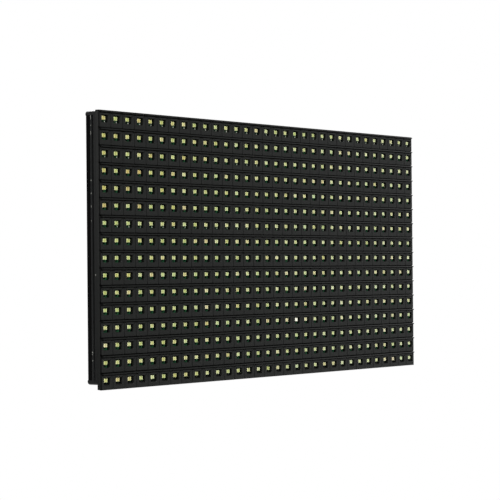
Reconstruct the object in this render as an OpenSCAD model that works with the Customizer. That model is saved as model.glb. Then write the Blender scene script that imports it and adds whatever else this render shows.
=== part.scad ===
// LED display module: a field of surface-mount LEDs on one circuit board, held between
// a louvred front mask and a moulded rear frame. The LEDs face -Y and +Z is up.
// The origin is the centre of the threaded inserts, on the rear seating plane.
// Depths are measured back from the front face of the mask.

/* [LED field] */
// LEDs across the module
columns = 32; // [24:4:48]
// Rows of LEDs
rows = 16; // [12:4:24]
// Centre distance of neighbouring LEDs
pitch = 10; // [9:0.5:14]
// Height of the LEDs above the middle of their cells
led_lift = 0.5; // [0:0.1:0.6]

/* [LED package] */
// Width of a package
led_w = 3.1; // [2.8:0.1:3.8]
// Height of a package
led_h = 2.4; // [2.2:0.1:3]
// Thickness of a package, from the board to its front
led_t = 1.9; // [1.2:0.1:2.2]
// Diameter of the resin window
window_d = 2; // [1.6:0.1:2.1]
// Depth of the resin window below the rim of the package
window_deep = 0.2; // [0.1:0.05:0.5]

/* [Front mask] */
// Gap left to the tile's nominal edge, on each side
tile_gap = 0.1; // [0.1:0.05:0.6]
// Thickness of the face plate
face_t = 1.4; // [1:0.1:2]
// Thickness of the mask over its ribs
mask_t = 2.9; // [2.4:0.1:4]
// Thickness of the ribs between the cells
rib_t = 1; // [0.8:0.1:2]
// Thickness of the mask's edge wall
edge_wall = 1.4; // [1:0.1:2]
// Width of an LED opening
opening_w = 5; // [4.4:0.1:6]
// Height of an LED opening
opening_h = 4.3; // [4:0.1:5]
// Reach of a visor in front of the face
visor_reach = 1.2; // [0.6:0.1:3]
// Thickness of a visor
visor_t = 0.8; // [0.6:0.1:1.2]
// Drop from the top edge of the mask to the top of its first visor
visor_drop = 0.35; // [0.2:0.05:0.6]
// Distance from a visor's end to the side of the mask
visor_inset = 1.3; // [0.5:0.1:3]
// Radius of a visor's front corners
visor_round = 0.3; // [0.1:0.1:0.6]
// Width of the scored line above a visor
row_line_w = 0.5; // [0.3:0.05:0.6]
// Depth of the scored line above a visor
row_line_deep = 0.8; // [0.2:0.05:0.9]
// Bevel on the sides of the face
edge_bevel = 0.5; // [0.2:0.1:0.8]
// Rise of the mask's underside from the face to its rear edge
foot_rise = 0.3; // [0.1:0.05:0.6]

/* [Circuit board] */
// Thickness of the board
board_t = 1.6; // [1:0.1:2]
// Gap between the board and the lip of the frame
board_gap = 0.1; // [0.05:0.05:0.3]

/* [Rear frame] */
// Depth of the frame behind the mask
frame_depth = 7.9; // [7:0.1:12]
// Inset of the frame from the top of the mask
frame_top_inset = 0.2; // [0.1:0.1:1]
// Inset of the frame from the foot of the mask
frame_foot_inset = 2.9; // [2.2:0.1:3]
// Inset of the frame from the sides of the mask
frame_side_inset = 0.1; // [0:0.05:0.6]
// Corner radius of the frame
frame_corner = 2; // [1:0.5:4]
// Thickness of the lip round the board
lip_t = 0.8; // [0.6:0.1:1]
// Band of the lip behind the board, before the groove
lip_band = 0.2; // [0.1:0.1:0.6]
// Width of the groove along each side of the frame
groove_w = 1.4; // [0.8:0.1:2]
// Depth of the groove along each side of the frame
groove_deep = 0.8; // [0.4:0.1:1.2]
// Width of the ridge behind the groove
ridge_w = 1.1; // [0.6:0.1:1.5]
// Depth of the flat recess behind the ridge
recess_deep = 0.45; // [0.2:0.05:0.8]
// Plain wall left at each corner, past the ends of the groove and the recess
corner_land = 2.6; // [2:0.1:6]
// Thickness of the frame's wall
frame_wall = 2; // [1.6:0.1:3]
// Width of the seat that carries the edge of the board
seat_w = 6; // [5:0.5:10]
// Width of the cross bars
bar_w = 12; // [10:1:16]
// Thickness of the stiffening rib on a bar
stiffener_t = 2; // [1.2:0.2:3]
// Drop from the seating plane to the top of the ribs
stiffener_drop = 1; // [0.5:0.1:2]
// Width of the pad under a post at the edge of the frame
pad_w = 16; // [14:1:20]

/* [Fixings] */
// Thread diameter of the mounting inserts
thread_d = 3; // [3:0.5:4]
// Outside diameter of the mounting inserts
insert_d = 5; // [4.8:0.1:6]
// Length of the mounting inserts
insert_l = 5.5; // [4:0.5:6]
// Diameter of the posts that hold the inserts
post_d = 9; // [8:0.5:11]
// Shank diameter of the clamping screws
screw_d = 2.3; // [2:0.1:2.6]
// Head diameter of the clamping screws
screw_head_d = 4.6; // [4:0.1:5]
// Head height of the clamping screws
screw_head_t = 1.6; // [1.2:0.1:2]
// Diameter of the tubes that take the clamping screws
tube_d = 7.4; // [6.5:0.1:9]
// Height of those tubes behind the board
tube_h = 4.6; // [4:0.1:5.5]
// Thickness of the tube floor under a screw head
tube_floor = 2.4; // [2:0.1:3]
// Diameter of the mask bosses that reach through the board
boss_d = 5; // [4.2:0.1:5.4]
// Thickness of face left in front of a boss's hole
boss_floor = 1; // [0.6:0.1:1.3]
// Gap between a boss and its hole in the board
boss_gap = 0.2; // [0.1:0.05:0.4]
// Gap between a fixing and its hole
fixing_gap = 0.02; // [0.02:0.01:0.1]

/* [Data headers] */
// Contacts in each row of a header
header_ways = 8; // [5:1:10]
// Pitch of the header contacts
header_pitch = 2.54; // [2:0.54:2.54]
// Width of a header shroud
shroud_w = 8.9; // [8.4:0.1:9.4]
// Height of a header shroud behind the board
shroud_h = 9.1; // [8:0.1:9.5]
// Wall of a header shroud
shroud_wall = 1.1; // [0.8:0.1:1.3]
// Floor of a header shroud
shroud_floor = 2.5; // [1.5:0.1:3]
// Length of shroud past the last contact
shroud_end = 5.5; // [4.5:0.1:6]
// Width of the key slot in a shroud
key_w = 4.5; // [3.5:0.1:5]
// Side of a square contact pin
pin_w = 0.64; // [0.5:0.02:0.7]
// Height of the contact pins behind the board
pin_h = 8; // [6:0.1:8.5]

/* [Power socket] */
// Contacts of the power socket
power_ways = 4; // [2:1:4]
// Pitch of the power contacts
power_pitch = 3.96; // [3:0.48:3.96]
// Width of the power socket's base
power_w = 8.4; // [7.5:0.1:9]
// Thickness of the power socket's base
power_base_t = 3.4; // [2.5:0.1:4]
// Height of the latch wall behind the board
power_wall_h = 8.6; // [7:0.1:9]
// Thickness of the latch wall
power_wall_t = 1.2; // [1:0.1:1.6]
// Length of base past the last contact
power_end = 1.9; // [1.5:0.1:2.5]
// Side of a power pin
power_pin_w = 1.14; // [0.9:0.02:1.2]
// Height of the power pins behind the board
power_pin_h = 9.6; // [8:0.1:10]

/* [Chips] */
// Leads on one side of a driver chip
driver_leads = 12; // [8:1:14]
// Leads on one side of a buffer chip
buffer_leads = 10; // [8:1:10]
// Leads on one side of the decoder chip
decoder_leads = 8; // [7:1:8]
// Leads on one side of a switch chip
switch_leads = 4; // [3:1:8]
// Width of a narrow chip body
narrow_chip_w = 3.9; // [3.5:0.1:4.2]
// Width of a wide chip body
wide_chip_w = 7.5; // [7:0.1:8]
// Thickness of a narrow chip body
narrow_chip_t = 1.4; // [1.2:0.1:1.6]
// Thickness of a wide chip body
wide_chip_t = 2.2; // [2:0.1:2.3]
// Gap between a chip body and the board
chip_stand = 0.15; // [0.05:0.05:0.25]
// Taper of a chip body, from its middle to its top and bottom
chip_taper = 0.15; // [0.05:0.05:0.2]
// Length of body past the last lead of a chip
chip_end = 0.65; // [0.5:0.05:0.8]
// Reach of a lead out of the body
lead_reach = 0.4; // [0.3:0.05:0.6]
// Length of a lead's foot on the board
lead_foot = 0.5; // [0.4:0.05:0.8]
// Thickness of a lead
lead_t = 0.18; // [0.15:0.01:0.25]
// Width of a fine lead
fine_lead_w = 0.28; // [0.22:0.01:0.32]
// Pitch of the fine leads
fine_lead_pitch = 0.635; // [0.6:0.005:0.65]
// Width of a standard lead
lead_w = 0.42; // [0.35:0.01:0.5]
// Pitch of the standard leads
lead_pitch = 1.27; // [1:0.27:1.27]

/* [Small parts] */
// Diameter of a storage capacitor's can
can_d = 6.3; // [5:0.1:6.6]
// Height of a storage capacitor's can above its base
can_h = 4.6; // [4:0.1:4.8]
// Side of a storage capacitor's base
can_base_w = 6.6; // [5.2:0.1:7]
// Thickness of a storage capacitor's base
can_base_t = 0.9; // [0.6:0.1:1]
// Length of a chip resistor or capacitor
bead_l = 1.6; // [1:0.1:2]
// Width of a chip resistor or capacitor
bead_w = 0.8; // [0.5:0.1:1.2]
// Thickness of a bypass capacitor
bypass_t = 0.8; // [0.5:0.1:1]
// Thickness of a resistor
resistor_t = 0.45; // [0.3:0.05:0.6]
// Length of a resistor array
array_l = 3.2; // [2.5:0.1:4]
// Width of a resistor array
array_w = 1.6; // [1:0.1:2]

/* [Board layout] */
// Distance of a driver from the middle of its bay
driver_spread = 16; // [14:0.5:18]
// Distance of the buffers from the header beside them
buffer_reach = 16; // [14:0.5:18]
// Half the distance between the two input buffers
buffer_spread = 9; // [8:0.5:12]
// Height of the power parts above the middle of the board
power_rise = 16; // [14:0.5:18]
// Distance of the power socket from the middle of the board
power_side = 20; // [18:0.5:24]
// Distance of a bypass capacitor from the middle of its driver
bypass_reach = 5.5; // [5:0.5:7]
// Distance of a setting resistor from the middle of its driver
setting_reach = 7; // [6.5:0.5:8]
// Distance of the resistor arrays from the input header
array_reach = 10; // [9:0.5:12]

/* [Hidden] */
$fn = 48;
join = 0.2;
mask_w = columns * pitch - 2 * tile_gap;
mask_h = rows * pitch - 2 * tile_gap;
visor_rise = pitch / 2 - tile_gap - visor_drop - visor_t / 2;
module_depth = mask_t + frame_depth;
board_front = mask_t;
board_back = board_front + board_t;

frame_w = mask_w - 2 * frame_side_inset;
frame_top = mask_h / 2 - frame_top_inset;
frame_foot = frame_foot_inset - mask_h / 2;
groove_front = board_back + lip_band;
ridge_front = groove_front + groove_w;
recess_front = ridge_front + ridge_w;
stiffener_back = module_depth - stiffener_drop;
tube_back = board_back + tube_h;
head_seat = board_back + tube_floor;

post_x = pitch * (columns / 2 - 1);
post_z = pitch * (rows / 2 - 1);
bar_x = pitch * columns / 4;
posts = [for (x = [-post_x, 0, post_x], z = [-post_z, post_z]) [x, z]];
side_tubes = [[-post_x, 0], [post_x, 0]];
bar_tubes = [for (x = [-bar_x, bar_x], z = [-post_z, 0, post_z]) [x, z]];
tubes = concat(side_tubes, bar_tubes, [[0, 0]]);

inner_bay_x = bar_x / 2;
outer_bay_x = (bar_x + post_x) / 2;
bay_z = post_z / 2;
header_x = outer_bay_x;
shroud_l = (header_ways - 1) * header_pitch + 2 * shroud_end;
power_l = (power_ways - 1) * power_pitch + 2 * power_end;

// Places on the back of the board, as [x, z].
drivers = [
    for (side = [-1, 1], z = [-bay_z, bay_z])
        for (x = [inner_bay_x - driver_spread, inner_bay_x + driver_spread, outer_bay_x])
            [side * x, z]
];
buffers = [
    [header_x - buffer_reach, buffer_spread],
    [header_x - buffer_reach, -buffer_spread],
    [buffer_reach - header_x, 0]
];
decoders = [[power_side, -power_rise]];
switches = [
    for (side = [-1, 1], x = [inner_bay_x, inner_bay_x + driver_spread])
        [side * x, -power_rise]
];
cans = [
    for (side = [-1, 1], x = [inner_bay_x, inner_bay_x + driver_spread])
        [side * x, power_rise]
];
arrays = [
    for (step = [-1.5, -0.5, 0.5, 1.5])
        [header_x + array_reach, step * header_pitch * 2]
];

// Chip families as [places, leads on one side, lead pitch, lead width, body width, body height, turn].
driver_kind = [drivers, driver_leads, fine_lead_pitch, fine_lead_w, narrow_chip_w, narrow_chip_t, 0];
buffer_kind = [buffers, buffer_leads, lead_pitch, lead_w, wide_chip_w, wide_chip_t, 90];
decoder_kind = [decoders, decoder_leads, lead_pitch, lead_w, narrow_chip_w, narrow_chip_t, 0];
switch_kind = [switches, switch_leads, lead_pitch, lead_w, narrow_chip_w, narrow_chip_t, 0];

function row_name(row) = str("led_row_", row < 10 ? "0" : "", row);

function cell_x(column) = (column - (columns - 1) / 2) * pitch;
function cell_z(row) = ((rows - 1) / 2 - row) * pitch;

// A plane shape of X and Z, from one depth back to another.
module layer(front, back) {
    translate([0, back - module_depth, 0])
        rotate([90, 0, 0])
            linear_extrude(back - front)
                children();
}

// A part that stands on the back of the board, with its own +Z pointing back.
module on_back(place, turn = 0) {
    translate([place[0], board_back - module_depth, place[1]])
        rotate([-90, 0, 0])
            rotate([0, 0, turn])
                children();
}

// A part that stands on the front of the board, with its own +Z pointing forward.
module on_front(place) {
    translate([place[0], board_front - module_depth, place[1]])
        rotate([90, 0, 0])
            children();
}

module at_places(places) {
    for (place = places)
        translate(place)
            children();
}

module at_cells() {
    for (column = [0 : columns - 1], row = [0 : rows - 1])
        translate([cell_x(column), cell_z(row)])
            children();
}

// A box centred on the board's own place and standing on it.
module block(length, width, height) {
    translate([-length / 2, -width / 2, 0])
        cube([length, width, height]);
}

module rounded_area(width, height, radius) {
    square([width - 2 * radius, height], center = true);
    square([width, height - 2 * radius], center = true);
    for (x = [-1, 1], z = [-1, 1])
        translate([x * (width / 2 - radius), z * (height / 2 - radius)])
            circle(radius);
}

// The frame's outline, drawn in by an inset.
module frame_area(inset) {
    translate([0, (frame_top + frame_foot) / 2])
        rounded_area(
            frame_w - 2 * inset,
            frame_top - frame_foot - 2 * inset,
            max(frame_corner - inset, 0.4)
        );
}

// The field behind the face in which the cells are hollow.
module hollow_area() {
    translate([edge_wall - mask_w / 2, frame_foot])
        square([mask_w - 2 * edge_wall, mask_h / 2 - edge_wall - frame_foot]);
}

// One visor: a bar with two rounded front corners, let into the face.
module visor() {
    length = mask_w - 2 * visor_inset;
    linear_extrude(visor_t, center = true) {
        translate([-length / 2, visor_round - visor_reach])
            square([length, visor_reach - visor_round + join]);
        translate([visor_round - length / 2, -visor_reach])
            square([length - 2 * visor_round, visor_reach]);
        for (side = [-1, 1])
            translate([side * (length / 2 - visor_round), visor_round - visor_reach])
                circle(visor_round);
    }
}

// The scored lines across the face, each on top of a visor below the first.
module row_lines() {
    for (row = [1 : rows - 1])
        translate([-mask_w / 2, 0, cell_z(row) + visor_rise + visor_t / 2])
            cube([mask_w, row_line_deep, row_line_w]);
}

// The bevels on the two sides of the face.
module face_bevels() {
    cut = edge_bevel * sqrt(2);
    for (side = [-1, 1])
        translate([side * mask_w / 2, 0, 0])
            rotate([0, 0, 45])
                cube([cut, cut, 2 * mask_h], center = true);
}

// What lies under the mask's sloped foot.
module under_foot() {
    translate([0, 0, -mask_h / 2])
        rotate([atan(foot_rise / mask_t), 0, 0])
            translate([-mask_w, 0, -mask_h])
                cube([2 * mask_w, mask_h, mask_h]);
}

module front_mask() {
    color("#232525")
        difference() {
            union() {
                layer(0, face_t)
                    difference() {
                        square([mask_w, mask_h], center = true);
                        at_cells() square([opening_w, opening_h], center = true);
                    }
                layer(face_t, mask_t)
                    difference() {
                        square([mask_w, mask_h], center = true);
                        intersection() {
                            at_cells() square(pitch - rib_t, center = true);
                            hollow_area();
                        }
                    }
                layer(boss_floor, board_back)
                    at_places(tubes) circle(d = boss_d);
                for (row = [0 : rows - 1])
                    translate([0, -module_depth, cell_z(row) + visor_rise])
                        visor();
            }
            translate([0, -module_depth, 0]) {
                row_lines();
                face_bevels();
                under_foot();
            }
            layer(boss_floor, board_back + join)
                at_places(tubes) circle(d = screw_d + 2 * fixing_gap);
        }
}

module circuit_board() {
    color("#0b4a34")
        layer(board_front, board_back)
            difference() {
                frame_area(lip_t + board_gap);
                at_places(tubes) circle(d = boss_d + 2 * boss_gap);
            }
}

module led_package() {
    difference() {
        block(led_w, led_h, led_t);
        translate([0, 0, led_t - window_deep])
            cylinder(d = window_d, h = window_deep + join);
    }
}

module led_row(row) {
    color("#cfcf9a")
        for (column = [0 : columns - 1])
            on_front([cell_x(column), cell_z(row - 1) + led_lift])
                led_package();
}

// A pad round a place near the edge, drawn out past the frame's outline on that side.
module edge_pad(place) {
    out = [sign(place[0]), sign(place[1])];
    translate([place[0] + out[0] * mask_w / 2, place[1] + out[1] * mask_h / 2])
        square([pad_w + abs(out[0]) * mask_w, pad_w + abs(out[1]) * mask_h], center = true);
}

// Ribs from a place near the edge, out past the frame's outline.
module edge_ribs(place) {
    if (place[0] != 0)
        translate([place[0] + sign(place[0]) * mask_w / 2, place[1]])
            square([mask_w, stiffener_t], center = true);
    if (place[1] != 0)
        translate([place[0], place[1] + sign(place[1]) * mask_h / 2])
            square([stiffener_t, mask_h], center = true);
}

// The flat lattice that the board lies on: edge seat, cross bars and post pads.
module seat_area() {
    difference() {
        frame_area(join);
        frame_area(seat_w);
    }
    intersection() {
        frame_area(join);
        union() {
            for (x = [-bar_x, 0, bar_x])
                translate([x, 0])
                    square([bar_w, 2 * mask_h], center = true);
            square([2 * bar_x, bar_w], center = true);
            for (place = concat(posts, side_tubes))
                edge_pad(place);
        }
    }
}

// The upright ribs along the middle of the bars and out to the corner posts.
module stiffener_area() {
    intersection() {
        frame_area(join);
        union() {
            for (x = [-bar_x, 0, bar_x])
                translate([x, 0])
                    square([stiffener_t, 2 * mask_h], center = true);
            square([2 * bar_x, stiffener_t], center = true);
            for (place = concat(posts, side_tubes))
                edge_ribs(place);
        }
    }
}

// What is cut from the frame's outline along its four sides, short of the corners.
module side_cut(deep) {
    frame_h = frame_top - frame_foot;
    difference() {
        translate([0, (frame_top + frame_foot) / 2]) {
            square([2 * mask_w, frame_h - 2 * corner_land], center = true);
            square([frame_w - 2 * corner_land, 2 * mask_h], center = true);
        }
        frame_area(deep);
    }
}

module rear_frame() {
    color("#1a1b1b")
        difference() {
            union() {
                layer(board_front, groove_front)
                    difference() {
                        frame_area(0);
                        frame_area(lip_t);
                    }
                layer(groove_front - join, module_depth)
                    difference() {
                        frame_area(0);
                        frame_area(frame_wall);
                    }
                layer(board_back, ridge_front)
                    seat_area();
                layer(ridge_front - join, stiffener_back)
                    stiffener_area();
                layer(board_back, module_depth)
                    at_places(posts) circle(d = post_d);
                layer(board_back, tube_back)
                    at_places(tubes) circle(d = tube_d);
            }
            layer(groove_front, ridge_front)
                side_cut(groove_deep);
            layer(recess_front, module_depth + join)
                side_cut(recess_deep);
            layer(module_depth - insert_l, module_depth + join)
                at_places(posts) circle(d = insert_d + 2 * fixing_gap);
            layer(board_back - join, module_depth)
                at_places(tubes) circle(d = screw_d + 2 * boss_gap);
            layer(head_seat, module_depth)
                at_places(tubes) circle(d = screw_head_d + 2 * boss_gap);
        }
}

module threaded_inserts() {
    color("#b8923f")
        layer(module_depth - insert_l, module_depth)
            at_places(posts)
                difference() {
                    circle(d = insert_d);
                    circle(d = thread_d);
                }
}

// Pan-headed screws, from the back of the frame into the bosses of the mask.
module clamping_screws() {
    slot = screw_d / 3;
    color("#8d8f91")
        difference() {
            union() {
                layer(boss_floor + join, head_seat + join)
                    at_places(tubes) circle(d = screw_d);
                layer(head_seat, head_seat + screw_head_t)
                    at_places(tubes) circle(d = screw_head_d);
            }
            layer(head_seat + screw_head_t / 2, module_depth)
                at_places(tubes) {
                    square([screw_d, slot], center = true);
                    square([slot, screw_d], center = true);
                }
        }
}

// Contact places of one header, across its two rows.
module header_contacts() {
    for (way = [0 : header_ways - 1], side = [-1, 1])
        translate([(way - (header_ways - 1) / 2) * header_pitch, side * header_pitch / 2])
            children();
}

module data_shroud(side) {
    color("#1f1f20")
        on_back([side * header_x, 0], 90)
            difference() {
                block(shroud_l, shroud_w, shroud_h);
                translate([0, 0, shroud_floor])
                    block(shroud_l - 2 * shroud_wall, shroud_w - 2 * shroud_wall, shroud_h);
                translate([0, -side * shroud_w / 2, shroud_floor])
                    block(key_w, shroud_w, shroud_h);
                translate([0, 0, -join])
                    linear_extrude(shroud_h)
                        header_contacts() square(pin_w + 2 * fixing_gap, center = true);
            }
}

module data_pins(side) {
    color("#c9a64a")
        on_back([side * header_x, 0], 90)
            header_contacts() block(pin_w, pin_w, pin_h);
}

// Contact places of the power socket, in one row.
module power_contacts() {
    for (way = [0 : power_ways - 1])
        translate([(way - (power_ways - 1) / 2) * power_pitch, 0])
            children();
}

module power_socket() {
    color("#e7e5dc")
        on_back([power_side, power_rise])
            difference() {
                union() {
                    block(power_l, power_w, power_base_t);
                    translate([0, (power_wall_t - power_w) / 2, 0])
                        block(power_l, power_wall_t, power_wall_h);
                }
                translate([0, 0, -join])
                    linear_extrude(power_wall_h)
                        power_contacts() square(power_pin_w + 2 * fixing_gap, center = true);
            }
}

module power_pins() {
    color("#c8cacb")
        on_back([power_side, power_rise])
            power_contacts() block(power_pin_w, power_pin_w, power_pin_h);
}

// The moulded bodies of one chip family, tapered above and below their parting line.
module chip_bodies(kind) {
    length = (kind[1] - 1) * kind[2] + 2 * chip_end;
    half = kind[4] / 2;
    color("#202124")
        for (place = kind[0])
            on_back(place, kind[6])
                translate([-length / 2, 0, chip_stand])
                    rotate([90, 0, 90])
                        linear_extrude(length)
                            polygon([
                                [chip_taper - half, 0], [half - chip_taper, 0],
                                [half, kind[5] / 2], [half - chip_taper, kind[5]],
                                [chip_taper - half, kind[5]], [-half, kind[5] / 2]
                            ]);
}

// One gull-wing lead, out of the parting line and down to the board.
module lead(width, drop) {
    translate([-width / 2, 0, 0])
        rotate([90, 0, 90])
            linear_extrude(width)
                polygon([
                    [0, drop], [lead_reach, drop], [lead_reach, 0],
                    [lead_reach + lead_t + lead_foot, 0], [lead_reach + lead_t + lead_foot, lead_t],
                    [lead_reach + lead_t, lead_t], [lead_reach + lead_t, drop + lead_t], [0, drop + lead_t]
                ]);
}

module chip_leads() {
    color("#b9bcbe")
        for (kind = [driver_kind, buffer_kind, decoder_kind, switch_kind])
            for (place = kind[0], side = [0, 180])
                on_back(place, kind[6] + side)
                    for (way = [0 : kind[1] - 1])
                        translate([(way - (kind[1] - 1) / 2) * kind[2], kind[4] / 2, 0])
                            lead(kind[3], chip_stand + kind[5] / 2);
}

module capacitor_bases() {
    color("#26272a")
        for (place = cans)
            on_back(place) block(can_base_w, can_base_w, can_base_t);
}

module capacitor_cans() {
    color("#c3c6c9")
        for (place = cans)
            on_back(place)
                translate([0, 0, can_base_t])
                    cylinder(d = can_d, h = can_h);
}

module bypass_capacitors() {
    color("#8a6a48")
        for (place = drivers)
            on_back(place + [0, bypass_reach]) block(bead_l, bead_w, bypass_t);
}

module setting_resistors() {
    color("#1d1e20")
        for (place = drivers)
            on_back(place + [setting_reach, 0], 90) block(bead_l, bead_w, resistor_t);
}

module resistor_arrays() {
    color("#1d1e20")
        for (place = arrays)
            on_back(place, 90) block(array_l, array_w, resistor_t);
}

front_mask();
circuit_board();
for (row = [1 : rows]) led_row(row);
rear_frame();
threaded_inserts();
clamping_screws();
data_shroud(1);  // data_in_shroud
data_pins(1);  // data_in_pins
data_shroud(-1);  // data_out_shroud
data_pins(-1);  // data_out_pins
power_socket();
power_pins();
chip_bodies(driver_kind);  // driver_chips
chip_bodies(buffer_kind);  // buffer_chips
chip_bodies(decoder_kind);  // decoder_chip
chip_bodies(switch_kind);  // switch_chips
chip_leads();
capacitor_bases();
capacitor_cans();
bypass_capacitors();
setting_resistors();
resistor_arrays();
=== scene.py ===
# %% [markdown]
# # LED display module
# A tile of 32 by 16 surface-mount LEDs behind a black louvred mask. The solids of the construction
# are loaded first and never moved. Each later cell dresses one piece: it either puts a finish on a
# solid, or works out a finer mesh with numpy and lets that stand for the solid.

# %% Load the frame
import math

import bmesh
import bpy
import numpy as np
from mathutils import Matrix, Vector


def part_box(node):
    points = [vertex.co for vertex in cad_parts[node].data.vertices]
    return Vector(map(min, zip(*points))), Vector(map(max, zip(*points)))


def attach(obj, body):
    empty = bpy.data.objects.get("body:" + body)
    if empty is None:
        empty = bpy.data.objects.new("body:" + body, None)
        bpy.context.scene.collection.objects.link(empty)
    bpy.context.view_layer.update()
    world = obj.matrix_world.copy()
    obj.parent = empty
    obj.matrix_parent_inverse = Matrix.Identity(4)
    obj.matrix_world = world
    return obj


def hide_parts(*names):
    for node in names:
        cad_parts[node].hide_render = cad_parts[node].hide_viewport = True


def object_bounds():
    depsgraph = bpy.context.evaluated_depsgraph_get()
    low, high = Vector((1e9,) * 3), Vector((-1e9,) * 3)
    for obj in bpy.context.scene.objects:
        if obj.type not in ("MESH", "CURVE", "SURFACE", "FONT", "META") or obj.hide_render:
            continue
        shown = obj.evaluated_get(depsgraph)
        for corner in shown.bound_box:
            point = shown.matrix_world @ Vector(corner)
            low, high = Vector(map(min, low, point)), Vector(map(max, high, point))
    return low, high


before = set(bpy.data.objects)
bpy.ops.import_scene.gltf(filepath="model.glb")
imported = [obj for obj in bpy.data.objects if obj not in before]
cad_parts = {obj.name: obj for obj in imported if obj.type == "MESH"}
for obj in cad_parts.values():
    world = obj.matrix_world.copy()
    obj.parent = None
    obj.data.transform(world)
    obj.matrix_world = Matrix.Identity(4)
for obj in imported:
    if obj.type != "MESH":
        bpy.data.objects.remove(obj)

cad_low, cad_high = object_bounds()
MM = 0.001
print("solids:", len(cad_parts), "size in mm:", [round(side / MM, 2) for side in cad_high - cad_low])

# %% [markdown]
# ## Measuring the solids
# Every place below comes from the solids, so a piece can't drift from what carries it. A node such as
# the row of chips holds several separate solids. They can be told apart by following shared corners:
# each triangle hands the lowest number among its corners to all three, until nothing changes.

# %% Boxes of the separate solids in a node
PLACE_DIGITS = 4


def mesh_values(items, field, width, kind=float):
    """One field of all points, corners or faces of a mesh, as rows of numbers."""
    values = np.empty(len(items) * width, kind)
    items.foreach_get(field, values)
    return values.reshape(-1, width)


def node_points(name):
    """All corners of a node in mm, one row each."""
    return mesh_values(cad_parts[name].data.vertices, "co", 3) / MM


def solid_boxes(name):
    """Lowest and highest corner of each solid in a node: corners that triangles join share a label."""
    corners = mesh_values(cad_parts[name].data.loops, "vertex_index", 1, int)
    places, same = np.unique(node_points(name).round(PLACE_DIGITS), axis=0, return_inverse=True)
    triangles = same.ravel()[corners].reshape(-1, 3)
    labels = np.arange(len(places))
    before = None
    while before is None or (labels != before).any():
        before = labels.copy()
        lowest = labels[triangles].min(axis=1)
        np.minimum.at(labels, triangles, lowest[:, None])
    solids = [places[labels == label] for label in np.unique(labels)]
    return np.array([[solid.min(axis=0), solid.max(axis=0)] for solid in solids])


def whole_box(name):
    """Lowest and highest corner of a node, in mm."""
    return np.array([list(corner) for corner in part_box(name)]) / MM


print("separate screws:", len(solid_boxes("clamping_screws")))

# %% Grid of the LEDs
MASK_DEEP = 2.9
LED_ROWS = sorted(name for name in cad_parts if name.startswith("led_row_"))
led_boxes = solid_boxes(LED_ROWS[0])
COLUMNS, ROWS = len(led_boxes), len(LED_ROWS)
LED_WIDE, LED_THICK, LED_TALL = led_boxes[0, 1] - led_boxes[0, 0]
column_x = np.sort(led_boxes.mean(axis=1)[:, 0])
row_z = np.array([whole_box(name)[:, 2].mean() for name in LED_ROWS])
mask_low, mask_high = whole_box("front_mask")
BOARD_FRONT, BOARD_BACK = whole_box("circuit_board")[:, 1]
FACE_Y = BOARD_FRONT - MASK_DEEP
pitch = column_x[1] - column_x[0]
print("LEDs:", COLUMNS, "by", ROWS, "on a pitch of", round(pitch, 3), "mm, face at", round(FACE_Y, 3))

# %% [markdown]
# ## Putting arrays into meshes
# A piece could be modelled by hand, or by adding one primitive after another. Here each shape is an
# array of points worked out in one go, and a second array says which points make a face. The helpers
# below turn such arrays into an object at the origin that rides on the one rigid body. Nearly every
# shape is a stack of rings, so its faces follow from the count of rings and of points round a ring.

# %% From arrays to a piece
WELD = 1e-6
SMOOTH_ANGLE = 35


def weld(mesh, flat_angle=None):
    """Joins corners on one place, merges faces flatter than an angle and turns all faces outwards."""
    work = bmesh.new()
    work.from_mesh(mesh)
    bmesh.ops.remove_doubles(work, verts=work.verts, dist=WELD)
    bmesh.ops.dissolve_degenerate(work, dist=WELD, edges=work.edges)
    if flat_angle:
        bmesh.ops.dissolve_limit(work, angle_limit=flat_angle, verts=work.verts, edges=work.edges)
    bmesh.ops.recalc_face_normals(work, faces=work.faces)
    work.to_mesh(mesh)
    work.free()


def add_piece(name, mesh, finishes, replaced=(), smooth_angle=SMOOTH_ANGLE):
    """Puts a mesh in the scene: smooth below an angle, riding on the body and finishes."""
    piece = bpy.data.objects.new(name, mesh)
    bpy.context.scene.collection.objects.link(piece)
    for finish in finishes:
        mesh.materials.append(finish)
    mesh.shade_smooth()
    mesh.set_sharp_from_angle(angle=math.radians(smooth_angle))
    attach(piece, "root")
    if replaced:
        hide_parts(*replaced)
    print(f"{name}: {len(mesh.vertices)} points, {len(mesh.polygons)} faces")
    return piece


def add_shape(name, shape, finishes, replaced=(), parts=None, smooth_angle=SMOOTH_ANGLE):
    """A piece from points in mm and faces; parts gives each face the number of its finish."""
    points, faces = shape
    mesh = bpy.data.meshes.new(name)
    mesh.from_pydata(points * MM, [], faces.tolist())
    if parts is not None:
        mesh.polygons.foreach_set("material_index", parts)
    weld(mesh)
    return add_piece(name, mesh, finishes, replaced, smooth_angle)


# %% Faces between rings


def beside(*parts):
    """Arrays set side by side along a new last axis; what is smaller is repeated to fit."""
    return np.stack(np.broadcast_arrays(*parts), axis=-1)


def ring_faces(first, second, around):
    """Quads between two rings of points; each ring begins at its own point number."""
    step = np.arange(around)
    after = (step + 1) % around
    return beside(first + step, first + after, second + after, second + step)


def across_faces(start, around):
    """Quads that close a ring: each joins two neighbours to the two points that lie opposite."""
    step = np.arange(around // 2 - 1)
    return beside(step, step + 1, around - 2 - step, around - 1 - step) + start


def tube_faces(rings, around):
    """Quads along a tube: each ring is joined to the next, with the points counted ring by ring."""
    starts = np.arange(rings - 1)[:, None, None] * around
    return (ring_faces(0, around, around) + starts).reshape(-1, 4)


def closed_bars(points):
    """Tubes closed at both ends, from an array of bars, their rings and the points round a ring."""
    count, rings, around = points.shape[:3]
    ends = [across_faces(start, around) for start in (0, (rings - 1) * around)]
    faces = np.concatenate([tube_faces(rings, around), *ends])
    starts = np.arange(count)[:, None, None] * rings * around
    return points.reshape(-1, 3), (faces + starts).reshape(-1, 4)


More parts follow.
